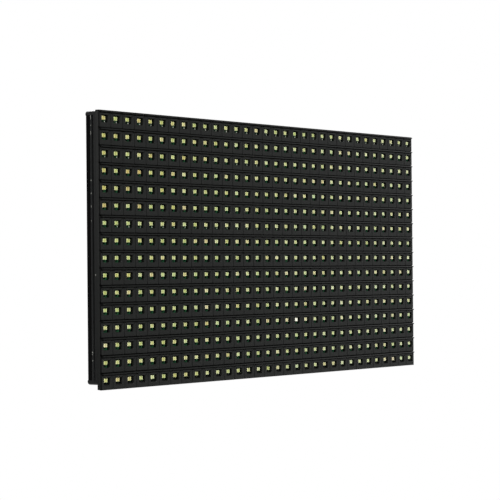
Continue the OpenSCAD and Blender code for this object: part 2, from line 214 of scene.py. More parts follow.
def repeat(shape, places, sizes=1.0):
    """Copies of a shape, one for each place: its points are scaled and moved, its faces counted on."""
    points, faces = shape
    sizes = np.broadcast_to(sizes, places.shape)
    starts = np.arange(len(places))[:, None, None] * len(points)
    copies = points * sizes[:, None] + places[:, None]
    return copies.reshape(-1, 3), (faces + starts).reshape(-1, faces.shape[1])


def joined(*shapes):
    """One array of points and one of faces from several shapes."""
    starts = np.cumsum([0] + [len(points) for points, faces in shapes])
    points = np.concatenate([points for points, faces in shapes])
    return points, np.concatenate([shape[1] + start for shape, start in zip(shapes, starts)])


print("quads of a closed square bar:", len(closed_bars(np.zeros((1, 2, 4, 3)))[1]))

# %% [markdown]
# ## The camera
# The photograph looks at the module from its left, a little below the middle and turned 51 degrees
# from square on. The place and the focal length were found from the LED grid itself: 512 lights on an
# exact 10 mm lattice leave no freedom. A long lens gives the mild perspective, with a slight roll.

# %% Camera
CAMERA_PLACE = (-0.9304, -0.7359, -0.01235)
CAMERA_AZIMUTH = math.radians(-51.357)
CAMERA_TILT = math.radians(0.623)
CAMERA_ROLL = math.radians(-0.546)
CAMERA_REACH = 50
LENS = 133.64
SENSOR = 36

camera_data = bpy.data.cameras.new("camera")
camera_data.lens = LENS
camera_data.sensor_width = SENSOR
camera_data.clip_end = CAMERA_REACH
camera = bpy.data.objects.new("camera", camera_data)
bpy.context.scene.collection.objects.link(camera)
camera.matrix_world = (
    Matrix.Translation(CAMERA_PLACE)
    @ Matrix.Rotation(CAMERA_AZIMUTH, 4, "Z")
    @ Matrix.Rotation(math.pi / 2 + CAMERA_TILT, 4, "X")
    @ Matrix.Rotation(CAMERA_ROLL, 4, "Z")
)
bpy.context.scene.camera = camera
print("camera at", [round(side, 4) for side in camera.location])

# %% [markdown]
# ## Finishes: colours and nodes
# Colours are written as sRGB hex values, as they are picked on a screen, while Blender's shaders add
# light and so need linear values. One function turns the first into the second. A second function adds
# any node with its settings and its links, which keeps each finish down to a few readable lines. Most
# surfaces here are mottled: two shades of one colour, mixed by a noise whose patches have a real size.

# %% Colour and node helpers


def linear(hex_code):
    """Linear RGBA of an sRGB hex colour: a straight part near black, then a power of 2.4."""
    shares = np.array([int(hex_code[start:start + 2], 16) for start in (1, 3, 5)]) / 255
    curve = np.where(shares <= 0.04045, shares / 12.92, ((shares + 0.055) / 1.055) ** 2.4)
    return (*curve.tolist(), 1.0)


def grey(level):
    """A neutral colour of one linear level."""
    return (level, level, level, 1)


def add_node(tree, kind, values=(), links=(), **settings):
    """Adds a node: settings go on it, values on its inputs, links join (node, output) to its inputs."""
    made = tree.nodes.new("ShaderNode" + kind)
    for name, value in settings.items():
        setattr(made, name, value)
    for socket, value in dict(values).items():
        made.inputs[socket].default_value = value
    for socket, (source, output) in dict(links).items():
        tree.links.new(source.outputs[output], made.inputs[socket])
    return made


def start_finish(name, **values):
    """A finish whose shader has its constant values on its own sockets."""
    finish = bpy.data.materials.new(name)
    finish.use_nodes = True
    shader = finish.node_tree.nodes["Principled BSDF"]
    for socket, value in values.items():
        shader.inputs[socket.replace("_", " ")].default_value = value
    return finish, finish.node_tree, shader


print("mid grey #808080 is", round(linear("#808080")[0], 3), "in linear light")

# %% Mottled finishes and fine grain


def mottled(name, low, high, patch_mm, detail=2.0, rough=None, span=(0.0, 1.0), **values):
    """A finish in patches of a size: the noise runs the colour, and any two roughnesses, low to high."""
    finish, tree, shader = start_finish(name, **values)
    place = add_node(tree, "TexCoord")
    size = {"Scale": 1 / (patch_mm * MM), "Detail": detail}
    patches = add_node(tree, "TexNoise", size, {"Vector": (place, "Object")})
    ends = {"Base Color": (linear(low), linear(high))}
    if rough:
        ends["Roughness"] = [grey(level) for level in rough]
    for socket, colours in ends.items():
        ramp = add_node(tree, "ValToRGB", links={"Fac": (patches, "Fac")})
        for stop, colour, position in zip(ramp.color_ramp.elements, colours, span):
            stop.color = colour
            stop.position = position
        tree.links.new(ramp.outputs["Color"], shader.inputs[socket])
    return finish


def add_grain(finish, grain_mm, detail, strength, grain_high):
    """Fine relief on a mottled finish: a noise of the grain's size lifts the surface by a height."""
    tree = finish.node_tree
    place, shader = tree.nodes["Texture Coordinate"], tree.nodes["Principled BSDF"]
    size = {"Scale": 1 / (grain_mm * MM), "Detail": detail}
    grain = add_node(tree, "TexNoise", size, {"Vector": (place, "Object")})
    lift = {"Strength": strength, "Distance": grain_high * MM}
    bump = add_node(tree, "Bump", lift, {"Height": (grain, "Fac")})
    tree.links.new(bump.outputs["Normal"], shader.inputs["Normal"])


# %% [markdown]
# ## Moulded black plastics
# The mask and the frame are black ABS. The mask's tool was spark eroded, which leaves a fine matt grain
# and no clear reflection, so it looks charcoal rather than black. The frame's tool was left smoother, with
# a broader and lower grain. The row lines, the side bevels, the wedges under the visors and the frame's
# recess are painted shade: a deep black almost without shine darkens them as shadow would. Grain of a
# tenth of a millimetre is too fine for the picture, so it is drawn at several tenths, and a second, broad
# noise stands for the uneven gloss of a moulding.

# %% Mask and frame plastics
CLOUD_MM, CLOUD_DETAIL = 22, 3.0
GRAIN_DETAIL, GRAIN_STRENGTH = 2.0, 0.35


def moulded_plastic(name, dark, light, rough, specular, grain_mm, grain_high):
    """Moulded plastic: broad clouds shift the colour and the gloss a little, fine grain lifts it."""
    finish = mottled(name, dark, light, CLOUD_MM, CLOUD_DETAIL, rough, Specular_IOR_Level=specular)
    add_grain(finish, grain_mm, GRAIN_DETAIL, GRAIN_STRENGTH, grain_high)
    return finish


# ABS from a spark-eroded tool: matt charcoal with no clear reflection.
mask_plastic = moulded_plastic("spark_eroded_black_abs", "#151615", "#191a19", (0.3, 0.4), 0.14, 0.5, 0.05)
# ABS from a smoother tool: black with a broad, weak shine.
frame_plastic = moulded_plastic("smooth_black_abs", "#141515", "#191a1a", (0.4, 0.5), 0.15, 0.8, 0.03)
# Painted shade: deep black ABS, almost without shine, for the row lines, side bevels, wedges and recess.
painted_shade_plastic = moulded_plastic("black_abs_painted_shade", "#0b0b0b", "#0f0f0f", (0.6, 0.7), 0.01, 0.8, 0.02)
# Polyester filled with glass fibre: a greyer black that shines more on its edges.
header_plastic = moulded_plastic(
    "glass_filled_black_pbt", "#171718", "#1f1f20", (0.38, 0.5), 0.4, 0.6, 0.03
)
print("plastics:", [made.name for made in (mask_plastic, frame_plastic, painted_shade_plastic, header_plastic)])

# %% [markdown]
# ## The louvred mask
# This is the piece that gives the module its look: 512 openings, a scored line round every cell, and a
# sun visor over each row. It could be a plate with 512 boolean cuts, but those leave long slivers and no
# bevels. Instead each cell is a nest of rings with twelve points, three at each corner: the scored line,
# its lip, a wedge cut under the visor, the bevelled edge of the opening, its back, the pocket and the rib.
# Neighbouring cells share their outer ring, so 512 copies weld into one closed shell.

# %% Rings of one cell
CORNER_X = np.repeat([-1, 1, 1, -1], 3)
CORNER_Z = np.repeat([-1, -1, 1, 1], 3)
ON_SIDE = np.tile([1, 1, 0, 0, 1, 1], 2)
ON_END = np.tile([0, 1, 1, 1, 1, 0], 2)
POINTS = len(CORNER_X)
CORNER_STEP = 1.0
ARC = 1 - math.sqrt(0.5)
ARC_X = np.tile([0, ARC, 1, 1, ARC, 0], 2)
ARC_Z = np.tile([1, ARC, 0, 0, ARC, 1], 2)


def square_ring(sides, ends, inset_x, inset_z):
    """Twelve points round a sharp rectangle, drawn in from its sides and ends; three at each corner."""
    low_x, high_x = sides
    low_z, high_z = ends
    draw_x = np.where(ON_SIDE, inset_x, CORNER_STEP)
    draw_z = np.where(ON_END, inset_z, CORNER_STEP)
    x = np.where(CORNER_X < 0, low_x + draw_x, high_x - draw_x)
    z = np.where(CORNER_Z < 0, low_z + draw_z, high_z - draw_z)
    return x, z


def round_ring(middle_x, middle_z, half_w, half_h, radius):
    """Twelve points round a rectangle whose corners are arcs: a start, a middle and an end on each."""
    x = middle_x + CORNER_X * (half_w - radius * ARC_X)
    z = middle_z + CORNER_Z * (half_h - radius * ARC_Z)
    return x, z


print("points round a cell:", POINTS)

# %% Sizes of the cells
OPENING = (5.0, 4.3)
OPENING_ROUND, OPENING_BEVEL = 0.35, 0.12
FACE_THICK = 1.4
RIB, EDGE_WALL = 1.0, 1.4
FOOT_WALL = whole_box("rear_frame")[0, 2] - mask_low[2]
FOOT_RISE, FOOT_OVERLAP = 0.3, 0.2
SIDE_BEVEL, END_BEVEL = 0.5, 0.05
VISOR_SHADE = (0.45, 0.4)
ROW_LINE = (0.5, 0.8)
COLUMN_LINE = (0.35, 0.2)
DRAFT, STEP_DIGITS = 0.05, 3

noses = node_points("front_mask")
noses = noses[noses[:, 1] < mask_low[1] + DRAFT]
visor_z = np.unique(noses[:, 2].round(STEP_DIGITS)).reshape(-1, 2)[::-1]
led_lift = row_z.mean() - (mask_low[2] + mask_high[2]) / 2
cell_z = row_z - led_lift
edges_x = np.concatenate([[mask_low[0]], (column_x[1:] + column_x[:-1]) / 2, [mask_high[0]]])
edges_z = np.concatenate([[mask_high[2]], (cell_z[1:] + cell_z[:-1]) / 2, [mask_low[2]]])
lines_z = edges_z.copy()
lines_z[1:-1] = visor_z[1:, 1] + ROW_LINE[0] / 2
column_of, row_of = (index.reshape(-1, 1) for index in np.meshgrid(np.arange(COLUMNS), np.arange(ROWS)))
cell_sides = edges_x[column_of], edges_x[column_of + 1]
cell_ends = edges_z[row_of + 1], edges_z[row_of]
line_ends = lines_z[row_of + 1], lines_z[row_of]
at_side = np.where(CORNER_X < 0, column_of == 0, column_of == COLUMNS - 1)
at_foot = (CORNER_Z < 0) & (row_of == ROWS - 1)
at_top = (CORNER_Z > 0) & (row_of == 0)
at_end = at_top | at_foot
print("cells:", len(column_of), "edge cells:", int((at_side | at_end).any(axis=1).sum()))

# %% Rings of all cells


def scored_ring(share, lip):
    """A ring of the scored lines: share 0 is a line's middle, 1 its edge; on the rim it is the bevel."""
    side_in = np.where(at_side, SIDE_BEVEL * share, share * COLUMN_LINE[0] / 2 + lip * DRAFT)
    end_in = np.where(at_end, END_BEVEL * share, share * ROW_LINE[0] / 2 + lip * DRAFT)
    side_deep = np.where(at_side, SIDE_BEVEL * (1 - share), COLUMN_LINE[1] * (1 - lip))
    end_deep = np.where(at_end, END_BEVEL * (1 - share), ROW_LINE[1] * (1 - lip))
    x, z = square_ring(cell_sides, line_ends, side_in, end_in)
    return x, np.maximum(ON_SIDE * side_deep, ON_END * end_deep), z


def shade_ring(share):
    """A ring of the wedge under a visor: share 0 is its deep edge at the visor, 1 its end on the face."""
    step = (1 + share) * DRAFT
    side_in = np.where(at_side, SIDE_BEVEL, COLUMN_LINE[0] / 2 + DRAFT) + step
    foot_in = np.where(at_end, END_BEVEL, ROW_LINE[0] / 2 + DRAFT) + step
    under_visor = lines_z[row_of] - visor_z[row_of, 0] + VISOR_SHADE[0] * share - DRAFT * (1 - share)
    at_visor = CORNER_Z > 0
    x, z = square_ring(cell_sides, line_ends, side_in, np.where(at_visor, under_visor, foot_in))
    return x, VISOR_SHADE[1] * (1 - share) * (at_visor & (ON_END > 0)), z


def opening_ring(grow, depth):
    """A ring of the opening, larger by grow on every side, at a depth behind the face."""
    half_w, half_h = OPENING[0] / 2 + grow, OPENING[1] / 2 + grow
    x, z = round_ring(column_x[column_of], cell_z[row_of], half_w, half_h, OPENING_ROUND + grow)
    return x, depth, z


def pocket_ring(depth):
    """A ring of the hollow behind the face: the cell less half a rib, or less the wall at the rim."""
    side_in = np.where(at_side, EDGE_WALL, RIB / 2)
    end_in = np.where(at_top, EDGE_WALL, np.where(at_foot, FOOT_WALL + FOOT_OVERLAP, RIB / 2))
    x, z = square_ring(cell_sides, cell_ends, side_in, end_in)
    return x, depth, z


def rear_ring():
    """The cell's own outline on the back of the ribs; the mask's underside rises towards it."""
    x, z = square_ring(cell_sides, cell_ends, 0, FOOT_RISE * at_foot)
    return x, MASK_DEEP, z


rings = [
    scored_ring(0, 0),
    scored_ring(1, 0),
    scored_ring(1, 1),
    shade_ring(0),
    shade_ring(1),
    opening_ring(OPENING_BEVEL, 0.0),
    opening_ring(0, OPENING_BEVEL),
    opening_ring(0, FACE_THICK),
    pocket_ring(FACE_THICK),
    pocket_ring(MASK_DEEP),
    rear_ring(),
]
grille_points = np.array([beside(x, FACE_Y + depth, z) for x, depth, z in rings])
print("rings, cells and points:", grille_points.shape[:3])

# %% [markdown]
# A band of faces joins each ring to the next. Along the mask's rim a wall closes the first ring to the
# last one. The bands of the row lines, the side bevels and the wedge get the plastic with painted shade,
# which darkens them as shadow would.

# %% Faces of the grille and its edge walls
LINE_BANDS, SHADE_BAND = slice(0, 2), 3
cells, bands = len(column_of), len(rings) - 1
per_ring = cells * POINTS
cell_start = np.arange(cells)[:, None, None] * POINTS
band_start = np.arange(bands)[:, None, None, None] * per_ring
grille_faces = (ring_faces(0, per_ring, POINTS) + cell_start + band_start).reshape(-1, 4)
wall = ring_faces(0, bands * per_ring, POINTS) + cell_start
following = np.roll(np.arange(POINTS), -1)
same_side = (CORNER_X == CORNER_X[following]) & (ON_SIDE * ON_SIDE[following] > 0)
same_end = (CORNER_Z == CORNER_Z[following]) & (ON_END * ON_END[following] > 0)
along_side = at_side & at_side[:, following] & same_side
along_end = at_end & at_end[:, following] & same_end
wall_faces = wall[along_side | along_end]
# Faces numbered 1 take the plastic with painted shade: the row lines, the side bevels and the wedges under
# the visors.
grille_parts = np.zeros((bands, cells, POINTS), int)
grille_parts[LINE_BANDS] = (same_end & ~along_end) | along_side
grille_parts[SHADE_BAND] = same_end & (CORNER_Z > 0)
print("grille faces:", len(grille_faces), "edge wall faces:", len(wall_faces))

# %% [markdown]
# A visor is a bar that grows out of the face. Its section, a rectangle with a rounded nose, is carried
# along the row, and its two front corners are quarter circles, as the mould rounds them.

# %% Visors
VISOR_ROUND, VISOR_ROOT, VISOR_NOSE = 0.3, 0.5, 0.2
QUARTER = np.linspace(0, math.pi / 2, 5)
visor_reach = FACE_Y - mask_low[1]
visor_half = (visor_z[0, 1] - visor_z[0, 0]) / 2


def visor_section():
    """Closed section of a visor as reach and height: a straight root and a nose with two quarter arcs."""
    arc_out = visor_reach - VISOR_NOSE * (1 - np.sin(QUARTER))
    arc_up = visor_half - VISOR_NOSE * (1 - np.cos(QUARTER))
    reach = np.concatenate([[-VISOR_ROOT], arc_out, arc_out[::-1], [-VISOR_ROOT]])
    height = np.concatenate([[visor_half], arc_up, -arc_up[::-1], [-visor_half]])
    return reach, height


def visor_bar():
    """The section along the row; over the last stretch the reach shrinks along a quarter circle."""
    reach, height = visor_section()
    half = noses[:, 0].max() + VISOR_ROUND
    run_in = half - VISOR_ROUND * (1 - np.sin(QUARTER))
    stations = np.concatenate([-run_in[::-1], run_in])
    shrink = 1 - VISOR_ROUND / visor_reach * (1 - np.cos(QUARTER))
    shrink = np.concatenate([shrink[::-1], shrink])
    out = np.where(reach > 0, reach * shrink[:, None], reach)
    return closed_bars(beside(stations[:, None], FACE_Y - out, height)[None])


visor_places = visor_z.mean(axis=1)[:, None] * [0, 0, 1]
print("visors:", len(visor_places), "reach", round(visor_reach, 3), "mm")

# %% [markdown]
# Behind the face, hollow bosses reach through the board for the clamping screws. They are turned shapes:
# a profile of radius and depth, carried round a circle.

# %% Screw bosses and the whole mask


def full_turn(around):
    """Angles of points spread evenly round a circle."""
    return np.arange(around) / around * 2 * math.pi


def turned(profile, around, radius=1.0, depth=1.0):
    """A profile of radius and depth, in mm or as shares, carried round the Y axis; depth is along +Y."""
    radii, depths = (np.array(profile, float) * [radius, depth]).T[..., None]
    angle = full_turn(around)
    points = beside(radii * np.cos(angle), depths, radii * np.sin(angle))
    return points.reshape(-1, 3), tube_faces(len(radii), around)


BOSS_RADIUS, BOSS_BORE, BOSS_AROUND = 2.5, 1.17, 24
boss_length = mask_high[1] - FACE_Y
boss_profile = (
    (0, FACE_THICK),
    (BOSS_BORE, FACE_THICK),
    (BOSS_BORE, boss_length),
    (BOSS_RADIUS, boss_length),
    (BOSS_RADIUS, FACE_THICK - DRAFT),
    (0, FACE_THICK - DRAFT),
)
boss_places = solid_boxes("clamping_screws").mean(axis=1) * [1, 0, 1] + [0, FACE_Y, 0]
mask_shape = joined(
    (grille_points.reshape(-1, 3), np.concatenate([grille_faces, wall_faces])),
    repeat(visor_bar(), visor_places),
    repeat(turned(boss_profile, BOSS_AROUND), boss_places),
)
mask_parts = np.zeros(len(mask_shape[1]), int)
mask_parts[:grille_parts.size] = grille_parts.ravel()
mask_finishes = [mask_plastic, painted_shade_plastic]
add_shape("louvred_mask", mask_shape, mask_finishes, ["front_mask"], mask_parts)

# %% [markdown]
# ## Small blocks
# Pads, solder, terminals and pins are all short square bars, some drawn in towards one end. One function
# makes any number of them from their sections, so each later cell only says where they are.

# %% Square bars
BACKWARD, FORWARD = 1, -1


def corners_of(low, high):
    """X and Z of the four corners of upright rectangles, one row for each."""
    x = beside(low[:, 0], high[:, 0], high[:, 0], low[:, 0])
    z = beside(low[:, 2], low[:, 2], high[:, 2], high[:, 2])
    return x, z


def bars(sections):
    """Closed bars of four sides: each section gives their lowest and highest corners at one Y."""
    rings = []
    for low, high in sections:
        x, z = corners_of(low, high)
        rings.append(beside(x, low[:, 1:2], z))
    return closed_bars(np.stack(rings, axis=1))


def blocks(low, high, draw_in, toward=BACKWARD):
    """Boxes from lowest and highest corners, drawn in at the end that looks along toward."""
    near, far = (low, high) if toward == BACKWARD else (high, low)
    inward = np.array([draw_in, 0, draw_in])
    foot = [np.where([0, 1, 0], near, corner) for corner in (low, high)]
    top = [np.where([0, 1, 0], far, corner) for corner in (low + inward, high - inward)]
    return bars([foot, top])


print("faces of one block:", len(blocks(np.zeros((1, 3)), np.ones((1, 3)), 0)[1]))

# %% [markdown]
# ## The LEDs
# Each LED is a moulded white package with a round cup, filled with resin that looks straw yellow when
# it is off. No two have quite the same tint, and in the photograph one in the lower half is almost white.
# A package is a nest of rings again: foot, shoulder, rim, cup and the hollow surface of the resin, under
# which the red, green and blue dies show as three small squares. The tint and a slight turn of hue are
# drawn from seeded generators and kept on the faces as attributes for the finish to read. The tint also
# rises across the columns, a painted sheen that makes the LEDs whiter towards the right, where they are
# seen at a more grazing angle, and a little down the rows, so they are whiter towards the bottom. A few
# LEDs blush, as they do in the photograph.

# %% Package and resin finishes


def led_finish(name, stops, **values):
    """A finish whose colour runs through stops of the tint attribute, which also carries a painted sheen,
    and is turned by the hue attribute.
    """
    finish, tree, shader = start_finish(name, **values)
    tint = add_node(tree, "Attribute", attribute_name="tint")
    hue = add_node(tree, "Attribute", attribute_name="hue")
    ramp = add_node(tree, "ValToRGB", links={"Fac": (tint, "Fac")})
    ends = ramp.color_ramp.elements
    for position, colour in stops.items():
        stop = ends[int(position)] if position in (0, 1) else ends.new(position)
        stop.color = linear(colour)
    turned_hue = add_node(tree, "HueSaturation", links={"Hue": (hue, "Fac"), "Color": (ramp, "Color")})
    tree.links.new(turned_hue.outputs["Color"], shader.inputs["Base Color"])
    return finish


# Moulded white plastic with a straw tint: a soft matt rim round the cup.
PACKAGE_STOPS = {0: "#bcab69", 1: "#e9e9d4", 0.3: "#b2b97f", 0.6: "#c6cca0", 0.85: "#d0d6b4"}
led_moulding = led_finish("straw_white_ppa", PACKAGE_STOPS, Roughness=0.45, Specular_IOR_Level=0.4)
# Silicone with a straw tint of its own: a glossy pool, deeper in colour than the rim.
RESIN_STOPS = {0: "#ac9847", 1: "#dfe3d6", 0.3: "#9da558", 0.6: "#b0b67e", 0.85: "#bcc496"}
led_resin = led_finish("straw_yellow_silicone", RESIN_STOPS, Roughness=0.22, IOR=1.41)
# The dies seen through the silicone: a shade darker than the pool.
led_die = led_finish("dies_under_silicone", {0: "#978a45", 1: "#a3a56f"}, Roughness=0.3, IOR=1.41)
led_finishes = [led_moulding, led_resin, led_die]
print("LED finishes:", [made.name for made in led_finishes])

# %% One package
SHOULDER, FOOT_ROUND = 0.7, 0.1
RIM_DRAW_IN, RIM_BEVEL, RIM_ROUND, FACE_ROUND = 0.1, 0.08, 0.15, 0.12
CUP_RADIUS, CUP_DEEP, CUP_NARROWS = 0.94, 0.16, 0.94
CUP_TURN = math.atan2(-2, -1)
RESIN_HOLLOW = 0.06
DIE, DIE_STEP, DIE_SHOW, DIE_SINK = 0.26, 0.45, 0.04, 0.02


def led_rings():
    """Rings of a package over the board: foot, shoulder, rim, face, edge of the cup, edge of the resin."""
    half_w, half_h = LED_WIDE / 2, LED_TALL / 2
    rim_w, rim_h = half_w - RIM_DRAW_IN, half_h - RIM_DRAW_IN
    circle = full_turn(POINTS) + CUP_TURN
    cup_x, cup_z = CUP_RADIUS * np.cos(circle), CUP_RADIUS * np.sin(circle)
    shapes = [
        (*round_ring(0, 0, half_w, half_h, FOOT_ROUND), 0),
        (*round_ring(0, 0, half_w, half_h, FOOT_ROUND), SHOULDER),
        (*round_ring(0, 0, rim_w, rim_h, RIM_ROUND), LED_THICK - RIM_BEVEL),
        (*round_ring(0, 0, rim_w - RIM_BEVEL, rim_h - RIM_BEVEL, FACE_ROUND), LED_THICK),
        (cup_x, cup_z, LED_THICK),
        (CUP_NARROWS * cup_x, CUP_NARROWS * cup_z, LED_THICK - CUP_DEEP),
    ]
    return np.array([beside(x, -height, z) for x, z, height in shapes])


package_rings = led_rings()
last_ring = (len(package_rings) - 1) * POINTS
resin_middle = np.array([[0, CUP_DEEP + RESIN_HOLLOW - LED_THICK, 0]])
case_faces = np.concatenate([tube_faces(len(package_rings), POINTS), across_faces(0, POINTS)])
fan = np.arange(0, POINTS, 2)
resin_faces = beside(fan, fan + 1, (fan + 2) % POINTS, POINTS) + last_ring
die_places = resin_middle + np.array([[-1], [0], [1]]) * [0, 0, DIE_STEP]
dies = blocks(die_places - [DIE / 2, DIE_SHOW, DIE / 2], die_places + [DIE / 2, DIE_SINK, DIE / 2], 0)
case_points = np.concatenate([package_rings.reshape(-1, 3), resin_middle])
package = joined((case_points, np.concatenate([case_faces, resin_faces])), dies)
package_parts = np.repeat([0, 1, 2], [len(case_faces), len(resin_faces), len(dies[1])])
print("faces of one package:", len(package_parts))

# %% Tints and rows
ODD_WHITE = (12, 18)
TINT_MEAN, TINT_SPREAD = 0.27, 0.09
SHEEN_ACROSS, TINT_DOWN, TINT_MOST = 0.42, 0.1, 0.85
HUE_UNTURNED, HUE_SPREAD = 0.5, 0.011
BLUSH_SHARE, BLUSH_TURN = 0.18, 0.03
TINT_SEED, HUE_SEED, LED_SMOOTH = 7, 11, 50
tints, hues = np.random.default_rng(TINT_SEED), np.random.default_rng(HUE_SEED)
# Painted sheen: the tint rises across the columns, so the LEDs look whiter towards the right.
sheen_drift = np.linspace(0, SHEEN_ACROSS, COLUMNS)
row_parts = np.tile(package_parts, COLUMNS)
for row, name in enumerate(LED_ROWS):
    row_tint_and_sheen = tints.normal(TINT_MEAN, TINT_SPREAD, COLUMNS) + sheen_drift + TINT_DOWN * row / ROWS
    row_tint_and_sheen = np.clip(row_tint_and_sheen, 0, TINT_MOST)
    if row == ODD_WHITE[0]:
        row_tint_and_sheen[ODD_WHITE[1]] = 1.0
    blush = BLUSH_TURN * (hues.random(COLUMNS) < BLUSH_SHARE)
    row_hue = HUE_UNTURNED + hues.normal(0, HUE_SPREAD, COLUMNS) - blush
    shape = repeat(package, beside(column_x, BOARD_FRONT, row_z[row]))
    piece = add_shape(
        name + "_packages", shape, led_finishes, [name], row_parts, LED_SMOOTH
    )
    for attribute, values in (("tint", row_tint_and_sheen), ("hue", row_hue)):
        layer = piece.data.attributes.new(attribute, "FLOAT", "FACE")
        layer.data.foreach_set("value", np.repeat(values, len(package_parts)))

# %% [markdown]
# ## Metals
# Tin on leads and solder is bright but never a mirror. The inserts are turned brass, the pins are flashed
# with gold, the screws are zinc plated and the capacitors' cans are drawn aluminium. Each takes its colour
# from the metal, and a noise of a millimetre or two in colour and roughness stands for handling and tarnish.

# %% Metal finishes
TARNISH_DETAIL = 4.0


def metal(name, colour, tarnish, smooth, dull, patch_mm):
    """A bare metal: patches of tarnish shift the colour, and the roughness runs from smooth to dull."""
    return mottled(name, colour, tarnish, patch_mm, TARNISH_DETAIL, (smooth, dull), Metallic=1.0)


# Tin plate on leads: bright grey with blurred reflections.
tin = metal("bright_tin_plate", "#c6c9ca", "#9fa3a5", 0.22, 0.42, 1.5)
# Solder that has flowed: as bright as tin, in smaller patches.
solder = metal("reflowed_solder", "#cdcfcc", "#a3a6a4", 0.25, 0.45, 0.8)
# Brass off the lathe: warm yellow, browner where it has tarnished.
brass = metal("turned_brass", "#c9a15a", "#a37f3c", 0.24, 0.4, 2.0)
# A thin flash of gold: clean yellow, with the clearest reflections of all.
gold = metal("gold_flash", "#d8b25c", "#c09a48", 0.18, 0.3, 2.0)
# Zinc on steel: a bluish grey, darker than tin.
zinc = metal("zinc_plated_steel", "#a9adb0", "#83888c", 0.26, 0.42, 1.2)
# Drawn aluminium: pale and even, with a soft shine.
aluminium = metal("drawn_aluminium", "#c9cccf", "#b2b6ba", 0.25, 0.36, 3.0)
print("metals:", [made.name for made in (tin, solder, brass, gold, zinc, aluminium)])

# %% [markdown]
# ## The circuit board
# The board is glass epoxy under green solder mask, seen below each LED and all over the back. Nearly all of
# it is poured with copper, and copper under the mask looks lighter than bare laminate. The solid board
# stays; it gets a finish whose green drifts with the thickness of the lacquer, over the faint weave of the
# glass, and thin pieces on it carry what is cut clear, printed and tinned.

# %% Solder mask and ink finishes
DRIFT_MM, DRIFT_SPAN = 7, (0.35, 0.65)
WEAVE_MM, WEAVE_DETAIL, WEAVE_STRENGTH = 0.8, 1.0, 0.15


def solder_mask(name, thick, thin, weave_high):
    """Glossy green lacquer: its shade drifts from thick to thin over some millimetres, over a weave."""
    finish = mottled(name, thick, thin, DRIFT_MM, span=DRIFT_SPAN, Roughness=0.3, Specular_IOR_Level=0.4)
    add_grain(finish, WEAVE_MM, WEAVE_DETAIL, WEAVE_STRENGTH, weave_high)
    return finish


# Lacquer over poured copper: the glossy green of nearly the whole board.
board_lacquer = solder_mask("green_mask_over_pour", "#1d402c", "#234b31", 0.02)
# Lacquer over a single run of copper: a brighter green line.
trace_lacquer = solder_mask("green_mask_over_traces", "#237a50", "#298457", 0.01)
# Lacquer over bare laminate: the dark line left round each run.
clear_lacquer = solder_mask("green_mask_over_laminate", "#10261a", "#142d1f", 0.01)
# Printed ink: matt white with a slight speckle.
ink = mottled("white_silkscreen_ink", "#d5d8d0", "#eceee8", 0.6, Roughness=0.6)


def dress(name, finish):
    """Puts a finish on a solid that keeps its own mesh."""
    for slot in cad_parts[name].material_slots:
        slot.material = finish
    print(name, "is dressed in", finish.name)


dress("circuit_board", board_lacquer)

# %% [markdown]
# On the front, each LED stands on four tinned pads, and a via carries its line through the board. Most vias
# are covered by the solder mask. In a few rows they are open and filled with solder, and those show as the
# small pale dots under the LEDs. Their pale, matt colour is a painted glint, in place of the highlight that
# the solder throws at some angles.

# %% Pads and terminals on the front
TERMINAL_Z, TERMINAL_UNDER = 0.75, 0.05
TERMINAL_HALF, TERMINAL_DRAW_IN = np.array([0.22, 0.25, 0.35]), 0.06
LED_PAD_HALF, LED_PAD_DRAW_IN = np.array([0.55, 0.02, 0.45]), 0.03
led_x, led_z = (axis.ravel() for axis in np.meshgrid(column_x, row_z))
side, end = (sign.ravel() for sign in np.meshgrid([-1, 1], [-1, 1]))
foot_x = (led_x[:, None] + side * (LED_WIDE / 2 + TERMINAL_HALF[0] - TERMINAL_UNDER)).ravel()
foot_z = (led_z[:, None] + end * TERMINAL_Z).ravel()
for name, half, draw_in, finish in (
    ("led_terminals", TERMINAL_HALF, TERMINAL_DRAW_IN, tin),
    ("led_pads", LED_PAD_HALF, LED_PAD_DRAW_IN, solder),
):
    feet = beside(foot_x, BOARD_FRONT - half[1], foot_z)
    add_shape(name, blocks(feet - half, feet + half, draw_in, FORWARD), [finish])

# %% Open vias on the front
VIA_SHIFT = (2.8, -1.95)
VIA_RADIUS, VIA_HIGH, VIA_AROUND = 0.42, 0.07, 10
DOME = ((0, 0), (1, 0), (0.9, -0.6), (0.5, -1), (0, -1))
# Each row that has open vias, their columns, and the size of the dots as a share.
OPEN_VIAS = ((0, range(COLUMNS), 1.0), (6, range(1, 25), 0.78), (2, (0, 1, 2, 3, 12, 13, 14), 0.9))
# Solder with a painted glint: a dull, pale colour in place of a metal shine.
painted_glint = mottled("solder_with_painted_glint", "#a1a196", "#bcbbb0", 0.4, Roughness=0.5)
dot_sizes = np.zeros((ROWS, COLUMNS))
for row, columns, size in OPEN_VIAS:
    dot_sizes[row, list(columns)] = size
dot_sizes = dot_sizes.reshape(-1, 1)
is_open = dot_sizes[:, 0] > 0
via_places = beside(led_x + VIA_SHIFT[0], BOARD_FRONT, led_z + VIA_SHIFT[1])
dome = turned(DOME, VIA_AROUND, VIA_RADIUS, VIA_HIGH)
add_shape("open_vias", repeat(dome, via_places[is_open], dot_sizes[is_open]), [painted_glint])

# %% [markdown]
# ## The rear frame and the other mouldings
# The frame's solid has sharp edges, which no moulding has. A copy is welded, its flat triangles are merged,
# and a Bevel modifier rounds the edges by a few tenths of a millimetre so that they catch the light. The
# same is done for the header shrouds, the power socket and the chips.

# %% Rounded copies of the mouldings
FLAT_ANGLE, EDGE_ANGLE = math.radians(1), math.radians(40)


